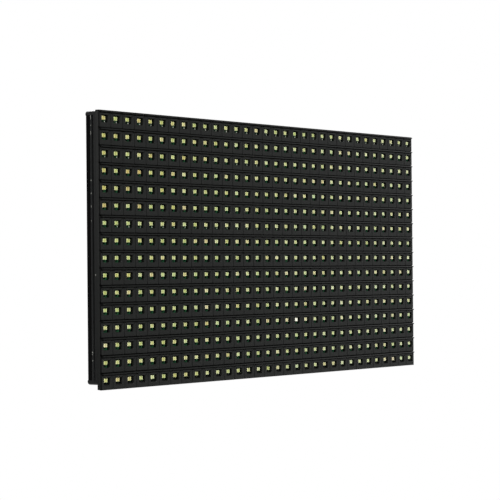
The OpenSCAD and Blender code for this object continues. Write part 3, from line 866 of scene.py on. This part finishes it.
def rounded_copy(name, piece_name, width_mm, finish, segments=2):
    """A welded copy of a solid that stands for it, with its sharp edges rounded over a width."""
    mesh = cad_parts[name].data.copy()
    mesh.name = piece_name
    mesh.materials.clear()
    weld(mesh, FLAT_ANGLE)
    piece = add_piece(piece_name, mesh, [finish], [name])
    bevel = piece.modifiers.new("rounded_edges", "BEVEL")
    bevel.width = width_mm * MM
    bevel.segments = segments
    bevel.limit_method = "ANGLE"
    bevel.angle_limit = EDGE_ANGLE
    bevel.use_clamp_overlap = False
    return piece


rear_shell = rounded_copy("rear_frame", "moulded_rear_frame", 0.18, frame_plastic)
rounded_copy("data_in_shroud", "moulded_input_shroud", 0.15, header_plastic)
rounded_copy("data_out_shroud", "moulded_output_shroud", 0.15, header_plastic)

# %% The frame's recess
RECESS_FRONT = -3.6
RIM_DEEP = 0.6
# The columns of X and Z, the two axes along the board.
FLAT = [0, 2]
# The recess takes the plastic with painted shade, which darkens it as shadow would.
rear_shell.data.materials.append(painted_shade_plastic)
frame_low, frame_high = whole_box("rear_frame")
centres = mesh_values(rear_shell.data.polygons, "center", 3) / MM
to_rim = np.minimum(centres - frame_low, frame_high - centres)[:, FLAT].min(axis=1)
recessed = (centres[:, 1] > RECESS_FRONT - DRAFT) & (to_rim < RIM_DEEP) & (to_rim > DRAFT)
rear_shell.data.polygons.foreach_set("material_index", recessed.astype(int))
print("faces in the frame's recess:", int(recessed.sum()))

# %% [markdown]
# The module has been handled: dust and short scuffs sit on the ridge along its left side. Each is a low
# flat dome, stretched along the ridge. They could be drawn in the finish, but as a few real specks they
# stay where they are on any copy of the frame.

# %% Dust and scuffs
SCUFF_HIGH, SCUFF_AROUND = 0.03, 8
RIDGE_Y, BAND_Y = -4.15, -7.0
SPECK = ((0, 0), (1, 0), (0.6, -1), (0, -1))
# Depth, height, half width and half length of each speck.
SCUFFS = (
    (RIDGE_Y, 75.8, 0.14, 1.5),
    (RIDGE_Y, 71.2, 0.2, 0.3),
    (RIDGE_Y, 66.8, 0.14, 1.3),
    (RIDGE_Y, 39.8, 0.32, 0.4),
    (RIDGE_Y, 32.3, 0.3, 0.4),
    (RIDGE_Y, 24.9, 0.18, 0.8),
    (RIDGE_Y, 16.6, 0.2, 0.3),
    (BAND_Y, -14.2, 0.25, 0.5),
    (RIDGE_Y, -58.4, 0.35, 0.45),
    (RIDGE_Y, -59.6, 0.25, 0.3),
    (RIDGE_Y, -63.2, 0.25, 0.3),
)
# Fine dust: dull grey, almost without shine.
dust = mottled("pale_dust", "#6f6f6b", "#a3a39d", 0.3, Roughness=0.9, Specular_IOR_Level=0.1)
scuff_y, scuff_z, scuff_wide, scuff_long = np.array(SCUFFS).T
upright, speck_faces = turned(SPECK, SCUFF_AROUND)
speck = upright[:, [1, 0, 2]], speck_faces
scuff_places = beside(frame_low[0], scuff_y, scuff_z)
scuff_sizes = beside(SCUFF_HIGH, scuff_wide, scuff_long)
add_shape("dust_and_scuffs", repeat(speck, scuff_places, scuff_sizes), [dust])

# %% [markdown]
# The power socket is moulded in nylon without any dye, and the chips in black epoxy. A dimple beside the
# first lead tells which way round a chip goes. It is a shallow turned ring, set into the chip's back.

# %% Nylon socket and chips
CHIPS = ("driver_chips", "buffer_chips", "decoder_chip", "switch_chips")
# Nylon without dye: milky cream with a soft shine.
nylon = mottled("natural_nylon", "#ddd8c8", "#e9e5d8", 6, Roughness=0.42)
# Epoxy filled with ground quartz: matt charcoal with a fine speckle.
epoxy = mottled(
    "black_epoxy_moulding", "#1b1c1e", "#2a2b2d", 0.35, 4.0, (0.5, 0.68), Specular_IOR_Level=0.35
)
rounded_copy("power_socket", "moulded_power_socket", 0.18, nylon)
for name in CHIPS:
    rounded_copy(name, "moulded_" + name, 0.1, epoxy)

# %% Dimples at the first lead of each chip
DIMPLE_RADIUS, DIMPLE_DEEP, DIMPLE_INSET, DIMPLE_AROUND = 0.45, 0.02, 1.1, 12
DIMPLE = ((0, -1), (1, -1), (0.9, 0.75), (0.7, 0.2), (0, 0.1))


def middle_and_size(boxes):
    """Middle and size of each box."""
    return boxes.mean(axis=1), boxes[:, 1] - boxes[:, 0]


def is_wide(sizes):
    """True for each solid that is longer along X than along Z."""
    return sizes[:, [0]] > sizes[:, [2]]


chip_boxes = np.concatenate([solid_boxes(name) for name in CHIPS])
chip_middle, chip_size = middle_and_size(chip_boxes)
dimple_step = np.where(is_wide(chip_size), [-1, 0, 1], [-1, 0, -1])
dimple_places = chip_middle + dimple_step * (chip_size / 2 - DIMPLE_INSET)
dimple_places[:, 1] = chip_boxes[:, 1, 1]
dimple = turned(DIMPLE, DIMPLE_AROUND, DIMPLE_RADIUS, DIMPLE_DEEP)
add_shape("first_lead_dimples", repeat(dimple, dimple_places), [header_plastic])

# %% [markdown]
# ## Leads and solder on the back
# The gull-wing leads are solids already and only need tin on them. Under each foot lies a pad with a low
# heap of solder. The lead's longer side gives its direction, and the nearest chip says which way is out.

# %% Solder under the leads
PAD_LONG, PAD_PAST_TOE, PAD_WIDEN = 1.15, 0.3, 0.08
SOLDER_HIGH, SOLDER_DRAW_IN = 0.12, 0.06
dress("chip_leads", tin)
lead_middle, lead_size = middle_and_size(solid_boxes("chip_leads"))
outside = np.maximum(np.abs(lead_middle[:, None] - chip_middle) - chip_size / 2, 0)
chip_of_lead = np.linalg.norm(outside[:, :, FLAT], axis=-1).argmin(axis=1)
along = np.where(is_wide(lead_size), [1, 0, 0], [0, 0, 1])
from_chip = (lead_middle - chip_middle[chip_of_lead]) * along
outward = np.sign(from_chip.sum(axis=1, keepdims=True)) * along
toe = lead_middle + outward * (lead_size / 2)
pad_middle = toe - outward * (PAD_LONG / 2 - PAD_PAST_TOE)
pad_half = np.where(along > 0, PAD_LONG / 2, lead_size / 2 + PAD_WIDEN)
pad_middle[:, 1] = BOARD_BACK + SOLDER_HIGH / 2
pad_half[:, 1] = SOLDER_HIGH / 2
heaps = blocks(pad_middle - pad_half, pad_middle + pad_half, SOLDER_DRAW_IN)
add_shape("lead_solder", heaps, [solder])

# %% [markdown]
# ## Pins
# A header pin is a square wire with a coined tip. Its box gives the wire, and the tip is drawn in.

# %% Pins of the headers and the power socket
TIP_LONG, TIP_SHARE = 0.55, 0.3


def tipped_pins(name, piece_name, finish):
    """Square pins with a short tip: a foot, a neck and an end whose four sides are drawn in."""
    low, high = solid_boxes(name).swapaxes(0, 1)
    tall = (high - low) * [0, 1, 0]
    neck = tall - [0, TIP_LONG, 0]
    inward = (high - low) * [TIP_SHARE, 0, TIP_SHARE]
    foot = low, high - tall
    shape = bars([foot, (low + neck, high - tall + neck), (low + tall + inward, high - inward)])
    add_shape(piece_name, shape, [finish], [name])


tipped_pins("data_in_pins", "tipped_input_pins", gold)
tipped_pins("data_out_pins", "tipped_output_pins", gold)
tipped_pins("power_pins", "tipped_power_pins", tin)

# %% [markdown]
# ## Inserts, screws and capacitors
# Turned pieces are profiles carried round an axis. The insert adds two waves to its radius: a knurl outside,
# counted round the circle, and a thread inside, which climbs one pitch for each turn.

# %% Threaded inserts
insert_boxes = solid_boxes("threaded_inserts")
insert_places, insert_size = middle_and_size(insert_boxes)
INSERT_RADIUS, INSERT_LONG = insert_size[0, 0] / 2, insert_size[0, 1]
INSERT_AROUND = 72
BORE, LEAD_IN, FOOT_DRAW_IN = 1.5, 0.2, 0.3
THREAD_PITCH, THREAD_DEEP, THREAD_RINGS = 0.5, 0.22, 44
KNURLS, KNURL_DEEP, KNURL_START, KNURL_END = 24, 0.12, 0.93, 0.07


def insert_shape():
    """Outer wall with a knurl, flat ends and a bore whose radius is a saw-tooth climbing once per turn."""
    angle = full_turn(INSERT_AROUND)
    outer_y = np.array([-1, -KNURL_START, -KNURL_END, 0]) * INSERT_LONG
    drawn_in = np.array([FOOT_DRAW_IN, 0, 0, LEAD_IN])[:, None]
    knurl = np.array([0, 1, 1, 0])[:, None] * KNURL_DEEP * (0.5 + 0.5 * np.cos(KNURLS * angle))
    outer_r = INSERT_RADIUS - drawn_in - knurl
    bore_y = np.linspace(-LEAD_IN, -INSERT_LONG, THREAD_RINGS)
    climb = (bore_y[:, None] / THREAD_PITCH + angle / (2 * math.pi)) % 1
    bore_r = BORE - THREAD_DEEP * np.abs(2 * climb - 1)
    mouth = np.full((1, INSERT_AROUND), BORE + LEAD_IN)
    radii = np.concatenate([outer_r, mouth, bore_r, outer_r[:1]])
    heights = np.concatenate([outer_y, [0], bore_y, outer_y[:1]])
    points = beside(radii * np.cos(angle), heights[:, None], radii * np.sin(angle))
    return points.reshape(-1, 3), tube_faces(len(radii), INSERT_AROUND)


insert_places[:, 1] = insert_boxes[:, 1, 1]
inserts = repeat(insert_shape(), insert_places)
add_shape("knurled_inserts", inserts, [brass], ["threaded_inserts"])
rounded_copy("clamping_screws", "pan_head_screws", 0.3, zinc, 3)

# %% [markdown]
# A storage capacitor is a can of drawn aluminium on a moulded base. A groove is rolled in above the base,
# the top edge is rounded, and part of the top is printed black to mark the negative side.

# %% Storage capacitors
CAN_AROUND, CAN_SMOOTH = 36, 30
CAN_WALL = ((0, 0), (1, 0), (1, 0.15), (0.94, 0.2), (0.94, 0.24), (1, 0.29), (1, 0.93))
CAN_TOP = ((0.98, 0.98), (0.93, 1), (0.62, 1), (0.3, 1), (0, 1))
PRINT_TURN, PRINT_RINGS = 0.18, (8, 9)
# Ink on the can: soft black beside the bright metal.
sleeve_print = mottled("black_sleeve_print", "#16171a", "#232428", 0.8, Roughness=0.5)
can_boxes = solid_boxes("capacitor_cans")
can_places, can_size = middle_and_size(can_boxes)
can_places[:, 1] = can_boxes[:, 0, 1]
can = turned(CAN_WALL + CAN_TOP, CAN_AROUND, can_size[0, 0] / 2, can_size[0, 1])
ring_of_face, turn_of_face = np.divmod(np.arange(len(can[1])), CAN_AROUND)
at_print = np.abs(turn_of_face / CAN_AROUND - 0.5) < PRINT_TURN
can_parts = np.tile(at_print & np.isin(ring_of_face, PRINT_RINGS), len(can_places)).astype(int)
cans, can_finishes = repeat(can, can_places), [aluminium, sleeve_print]
add_shape("rolled_cans", cans, can_finishes, ["capacitor_cans"], can_parts, CAN_SMOOTH)
rounded_copy("capacitor_bases", "moulded_can_bases", 0.2, header_plastic)

# %% [markdown]
# The chip capacitors and resistors are small fired bricks. Their ends are dipped in tin, and each end has a
# low heap of solder in front of it.

# %% Chip capacitors and resistors
# Fired ceramic: matt brown, lightly clouded.
ceramic = mottled("fired_ceramic", "#8d6b49", "#a8845e", 0.5, 3.0, Roughness=0.5)
# Glass over a resistor's film: smooth, shiny black.
glaze = mottled("black_resistor_glaze", "#141517", "#202124", 0.5, 3.0, Roughness=0.3)
rounded_copy("bypass_capacitors", "fired_bypass_capacitors", 0.08, ceramic)
rounded_copy("setting_resistors", "glazed_setting_resistors", 0.05, glaze)
rounded_copy("resistor_arrays", "glazed_resistor_arrays", 0.05, glaze)

# %% Tinned ends and their solder
END_LONG, END_SKIN, TOE_LONG, TOE_HIGH, TOE_DRAW_IN = 0.35, 0.03, 0.45, 0.2, 0.12
ARRAY_ENDS, ARRAY_PITCH, ARRAY_END_WIDE = 4, 0.8, 0.42
ALONG_X, ALONG_Z = FLAT


def tinned_ends(boxes, along):
    """A cap over both ends of chip parts and a low heap of solder in front of each, along an axis."""
    shapes = []
    for end, toward in ((0, -1), (1, 1)):
        cap = boxes + np.array([-END_SKIN, END_SKIN])[:, None]
        cap[:, 0, 1] = BOARD_BACK
        cap[:, 1 - end, along] = boxes[:, end, along] - toward * END_LONG
        heap = cap.copy()
        heap[:, end, along] += toward * TOE_LONG
        heap[:, 1, 1] = BOARD_BACK + TOE_HIGH
        shapes += [blocks(cap[:, 0], cap[:, 1], END_SKIN), blocks(heap[:, 0], heap[:, 1], TOE_DRAW_IN)]
    return joined(*shapes)


array_boxes = np.repeat(solid_boxes("resistor_arrays"), ARRAY_ENDS, axis=0)
end_step = (np.arange(len(array_boxes)) % ARRAY_ENDS - (ARRAY_ENDS - 1) / 2) * ARRAY_PITCH
end_z = array_boxes.mean(axis=1)[:, 2] + end_step
array_boxes[:, :, 2] = end_z[:, None] + np.array([-0.5, 0.5]) * ARRAY_END_WIDE
ends = joined(
    tinned_ends(solid_boxes("bypass_capacitors"), ALONG_X),
    tinned_ends(solid_boxes("setting_resistors"), ALONG_Z),
    tinned_ends(array_boxes, ALONG_X),
)
add_shape("tinned_ends", ends, [solder])

# %% [markdown]
# ## Copper, vias and ink on the back
# The drivers' outputs fan out to vias that lead to the LED columns, and broad runs carry the supply. Under
# the solder mask a trace is a low ridge of lighter green, and the pour is etched clear round it, which shows
# as a darker line on both sides. Each one is a path of a few points with a width: the points are moved to
# both sides along the mean of their neighbours' normals.

# %% Ridges along paths
RIDGE_SIDES = np.array([-0.5, -0.4, 0.4, 0.5])[:, None]


def ribbons(paths, width, height):
    """Low ridges along paths of X and Z: a flat top and two sloped sides, mitred where a path turns."""
    run = np.diff(paths, axis=1)
    run /= np.linalg.norm(run, axis=-1, keepdims=True)
    normal = beside(-run[..., 1], run[..., 0])
    before = np.concatenate([normal[:, :1], normal], axis=1)
    after = np.concatenate([normal, normal[:, -1:]], axis=1)
    mitre = (before + after) / (1 + (before * after).sum(axis=-1, keepdims=True))
    flat = paths[:, :, None] + RIDGE_SIDES * width * mitre[:, :, None]
    y = BOARD_BACK + np.array([0, height, height, 0])
    return closed_bars(beside(flat[..., 0], y, flat[..., 1]))


# %% Silkscreen outlines
INK_WIDE, INK_GAP, INK_HIGH = 0.22, 0.6, 0.05
LEADS_REACH = 1.6
OUTLINED = ("data_in_shroud", "data_out_shroud", "power_socket")
plain_boxes = np.concatenate([solid_boxes("capacitor_bases"), [whole_box(name) for name in OUTLINED]])
chip_grow = INK_GAP + LEADS_REACH * np.where(is_wide(chip_size), [0, 0, 1], [1, 0, 0])
grow = np.concatenate([chip_grow, np.full((len(plain_boxes), 3), INK_GAP)])
ink_boxes = np.concatenate([chip_boxes, plain_boxes]) + grow[:, None] * [[-1], [1]]
loops = beside(*corners_of(ink_boxes[:, 0], ink_boxes[:, 1]))
sides = np.stack([loops, np.roll(loops, -1, axis=1)], axis=2).swapaxes(0, 1).reshape(-1, 2, 2)
add_shape("silkscreen_outlines", ribbons(sides, INK_WIDE, INK_HIGH), [ink])

# %% Paths from the drivers
FAN, FAN_START, FAN_LONG, FAN_STAGGER = 2.2, 0.5, 6.2, 1.4
FAN_WIDE, FAN_CLEAR = 0.3, 0.7


def clear_of(paths, boxes, gap):
    """True for each path whose own box stays a gap away from all boxes, in X and Z."""
    low, high = paths.min(axis=1), paths.max(axis=1)
    meets = (high[:, None] > boxes[:, 0] - gap) & (low[:, None] < boxes[:, 1] + gap)
    return ~meets.all(axis=-1).any(axis=1)


DRIVERS = len(solid_boxes("driver_chips"))
is_driver = chip_of_lead < DRIVERS
fan_toe, fan_out = toe[is_driver], outward[is_driver, 2]
fan_chip = chip_middle[chip_of_lead[is_driver]]
across = fan_toe[:, 0] - fan_chip[:, 0]
lead_step = np.diff(np.unique(across.round(STEP_DIGITS))).min()
stagger = np.rint((across - across.min()) / lead_step) % 2
fan_x = fan_chip[:, 0] + across * FAN
bend_1 = fan_toe[:, 2] + fan_out * FAN_START
bend_2 = bend_1 + fan_out * np.abs(across) * (FAN - 1)
fan_end = fan_toe[:, 2] + fan_out * (FAN_LONG + FAN_STAGGER * stagger)
path_x = beside(fan_toe[:, 0], fan_toe[:, 0], fan_x, fan_x)
path_z = beside(fan_toe[:, 2], bend_1, bend_2, fan_end)
fan_paths = beside(path_x, path_z)
fan_half = np.abs(fan_paths - fan_chip[:, None, FLAT]).max(axis=(0, 1))
fan_boxes = chip_middle[:DRIVERS, None, FLAT] + np.array([[-1], [1]]) * fan_half
bypass_boxes = solid_boxes("bypass_capacitors")[:, :, FLAT]
fan_paths = fan_paths[clear_of(fan_paths, bypass_boxes, FAN_CLEAR)]
print("fan traces:", len(fan_paths))

# %% Paths of the other chips, the supply and the rows
STUB_LONG, STUB_STAGGER, STUB_WIDE = 3.2, 1.2, 0.4
SUPPLY_WIDE, SUPPLY_SPREAD, SUPPLY_PAST = 2.6, 2.2, 6.0
ROW_WIDE, ROW_CLEAR, ROW_END = 0.4, 1.2, 0.2
stub_toe, stub_out = toe[~is_driver], outward[~is_driver]
stub_long = STUB_LONG + STUB_STAGGER * (np.arange(len(stub_toe)) % 2)
stub_paths = np.stack([stub_toe, stub_toe + stub_out * stub_long[:, None]], axis=1)[:, :, FLAT]
supply_x = np.array([-1, 1]) * (np.abs(can_places[:, 0]).max() + SUPPLY_PAST)
supply_z = can_places[:, 2].mean() + np.array([-1, 1]) * SUPPLY_SPREAD
supply_paths = beside(supply_x, supply_z[:, None])
supply_box = beside(supply_x, supply_z) + [[-SUPPLY_WIDE], [SUPPLY_WIDE]]
taken = np.concatenate([ink_boxes[:, :, FLAT], fan_boxes, [supply_box]])
row_ends = via_places.reshape(ROWS, COLUMNS, 3)[:, :, FLAT]
row_paths = np.stack([row_ends[:, :-1], row_ends[:, 1:]], axis=2).reshape(-1, 2, 2)
row_paths = row_paths[clear_of(row_paths, taken, ROW_CLEAR)] + [[ROW_END, 0], [-ROW_END, 0]]
row_vias = row_ends.reshape(-1, 1, 2)
row_vias = row_vias[clear_of(row_vias, taken, ROW_CLEAR)]
print("stubs:", len(stub_paths), "row lines:", len(row_paths), "row vias:", len(row_vias))

# %% Copper runs, vias and the clear lines round them
TRACE_HIGH = 0.04
BACK_VIA_RADIUS, BACK_VIA_HIGH, BACK_VIA_AROUND = 0.42, 0.05, 8
BACK_VIA = ((0, 0), (1, 0), (0.95, 1), (0.45, 1), (0.35, 0.3), (0, 0.3))
CLEARANCE, CLEAR_HIGH, CLEAR_AROUND = 0.18, 0.012, 12
CLEAR_DISC = ((0, 0), (1, 0), (0.98, 1), (0, 1))
runs = (
    (fan_paths, FAN_WIDE),
    (stub_paths, STUB_WIDE),
    (supply_paths, SUPPLY_WIDE),
    (row_paths, ROW_WIDE),
)
copper = joined(*(ribbons(paths, width, TRACE_HIGH) for paths, width in runs))
add_shape("copper_runs", copper, [trace_lacquer])
via_ends = np.concatenate([paths[:, -1] for paths in (fan_paths, stub_paths, row_vias)])
via_ends = np.insert(via_ends, 1, BOARD_BACK, axis=1)
via_ring = turned(BACK_VIA, BACK_VIA_AROUND, BACK_VIA_RADIUS, BACK_VIA_HIGH)
add_shape("back_vias", repeat(via_ring, via_ends), [solder])
clear_strips = (ribbons(paths, width + 2 * CLEARANCE, CLEAR_HIGH) for paths, width in runs)
clear_disc = turned(CLEAR_DISC, CLEAR_AROUND, BACK_VIA_RADIUS + CLEARANCE, CLEAR_HIGH)
clear = joined(*clear_strips, repeat(clear_disc, via_ends))
add_shape("pour_clearances", clear, [clear_lacquer])

# %% [markdown]
# ## The surroundings
# The photograph is a cut-out on white. A white world seen by the camera and in reflections gives that
# without putting more light on the object. In reflections it is dimmer towards the camera's own side and
# towards the zenith, as a studio is, so that edges facing the camera stay dark. The floor is pale and
# keeps a soft shadow close to the module, then fades to the same white, so that no horizon shows. It lies
# lower than the module, which hangs on a cabinet in use, and reflections show the studio in its place.

# %% World
AMBIENT = 0.2
DIM_SIDE = (-0.78, -0.62, 0)
DIM_FROM, DIM_TO, DIM_LEVEL = -0.5, 0.2, 0.1
ZENITH_FROM, ZENITH_TO, ZENITH_LEVEL = 0.15, 0.8, 0.3
scene = bpy.context.scene
scene.view_settings.view_transform = "Standard"
world = bpy.data.worlds.new("white_studio")
scene.world = world
world.use_nodes = True
tree = world.node_tree
tree.nodes.clear()
rays = add_node(tree, "LightPath")
by_bounce = {0: (rays, "Is Glossy Ray"), 1: (rays, "Is Transmission Ray")}
mirrored = add_node(tree, "Math", links=by_bounce, operation="MAXIMUM")
direction = add_node(tree, "TexCoord")
toward_side = {0: (direction, "Generated")}
toward = add_node(tree, "VectorMath", {1: DIM_SIDE}, toward_side, operation="DOT_PRODUCT")
upward = add_node(tree, "SeparateXYZ", links={0: (direction, "Generated")})
smooth = {"interpolation_type": "SMOOTHSTEP"}
side_range = {"From Min": DIM_FROM, "From Max": DIM_TO, "To Min": 1.0, "To Max": DIM_LEVEL}
side_level = add_node(tree, "MapRange", side_range, {"Value": (toward, "Value")}, **smooth)
zenith_range = {"From Min": ZENITH_FROM, "From Max": ZENITH_TO, "To Min": 1.0, "To Max": ZENITH_LEVEL}
zenith_level = add_node(tree, "MapRange", zenith_range, {"Value": (upward, "Z")}, **smooth)
both_levels = {0: (side_level, "Result"), 1: (zenith_level, "Result")}
level = add_node(tree, "Math", links=both_levels, operation="MULTIPLY")
ambient = add_node(tree, "Background", {"Color": grey(1), "Strength": AMBIENT})
studio = add_node(tree, "Background", {"Color": grey(1)}, {"Strength": (level, "Value")})
white = add_node(tree, "Background", {"Color": grey(1), "Strength": 1.0})
by_mirror = {0: (mirrored, "Value"), 1: (ambient, "Background"), 2: (studio, "Background")}
lit = add_node(tree, "MixShader", links=by_mirror)
by_camera = {0: (rays, "Is Camera Ray"), 1: (lit, "Shader"), 2: (white, "Background")}
sky = add_node(tree, "MixShader", links=by_camera)
add_node(tree, "OutputWorld", links={"Surface": (sky, "Shader")})
print("world:", world.name, "with", len(tree.nodes), "nodes")

# %% Floor
FLOOR_DROP, FLOOR_HALF = 0.2, 30
SHADOW_FADES, SHADOW_REACH = 0.3, 0.6
# Matt pale paint: nearly white, so that it takes a soft shadow.
floor_finish, tree, shader = start_finish(
    "pale_studio_floor", Base_Color=linear("#f4f4f2"), Roughness=0.9, Specular_IOR_Level=0.1
)
place = add_node(tree, "TexCoord")
away = add_node(tree, "VectorMath", links={0: (place, "Object")}, operation="LENGTH")
fade_range = {"From Min": SHADOW_FADES, "From Max": SHADOW_REACH}
fade = add_node(tree, "MapRange", fade_range, {"Value": (away, "Value")})
rays = add_node(tree, "LightPath")
by_bounce = {0: (rays, "Is Glossy Ray"), 1: (rays, "Is Transmission Ray")}
mirrored = add_node(tree, "Math", links=by_bounce, operation="MAXIMUM")
seen_by = {0: (mirrored, "Value"), 1: (rays, "Is Camera Ray")}
seen = add_node(tree, "Math", links=seen_by, operation="MAXIMUM")
share = add_node(tree, "Math", links={0: (fade, "Result"), 1: (seen, "Value")}, operation="MULTIPLY")
glow = add_node(tree, "Emission", {"Color": grey(1), "Strength": 1.0})
by_share = {0: (share, "Value"), 1: (shader, "BSDF"), 2: (glow, "Emission")}
blend = add_node(tree, "MixShader", links=by_share)
tree.links.new(blend.outputs["Shader"], tree.nodes["Material Output"].inputs["Surface"])

floor_z = cad_low.z - FLOOR_DROP
floor_x, floor_y = np.array([(-1, -1), (1, -1), (1, 1), (-1, 1)]).T * FLOOR_HALF
floor_mesh = bpy.data.meshes.new("floor")
floor_mesh.from_pydata(beside(floor_x, floor_y, floor_z), [], [(0, 1, 2, 3)])
floor_mesh.materials.append(floor_finish)
floor = bpy.data.objects.new("floor", floor_mesh)
scene.collection.objects.link(floor)
floor.visible_glossy = False
print("floor at", round(floor_z, 3), "m")

# %% [markdown]
# Three soft area lamps model the module: a key from the upper left in front, so that each visor throws a
# short shadow and the light still reaches the LEDs, a weak one behind on the left for the frame's side,
# and one behind on the right for the electronics.

# %% Lamps


def soft_lamp(name, place, size, power):
    """A square area lamp at a place, turned to the module's middle."""
    data = bpy.data.lights.new(name, "AREA")
    data.size = size
    data.energy = power
    lamp = bpy.data.objects.new(name, data)
    scene.collection.objects.link(lamp)
    aim = -np.array(place)
    turn = Matrix.Rotation(math.atan2(aim[1], aim[0]) - math.pi / 2, 4, "Z")
    tilt = Matrix.Rotation(math.pi / 2 + math.atan2(aim[2], math.hypot(aim[0], aim[1])), 4, "X")
    lamp.matrix_world = Matrix.Translation(place) @ turn @ tilt


soft_lamp("key", (-1.3, -2.7, 1.8), 0.7, 122)
soft_lamp("left", (-1.3, 1.0, 0.4), 0.8, 3)
soft_lamp("rear", (0.8, 1.4, 1.2), 1.0, 38)
print("lamps:", [lamp.name for lamp in bpy.data.lights])
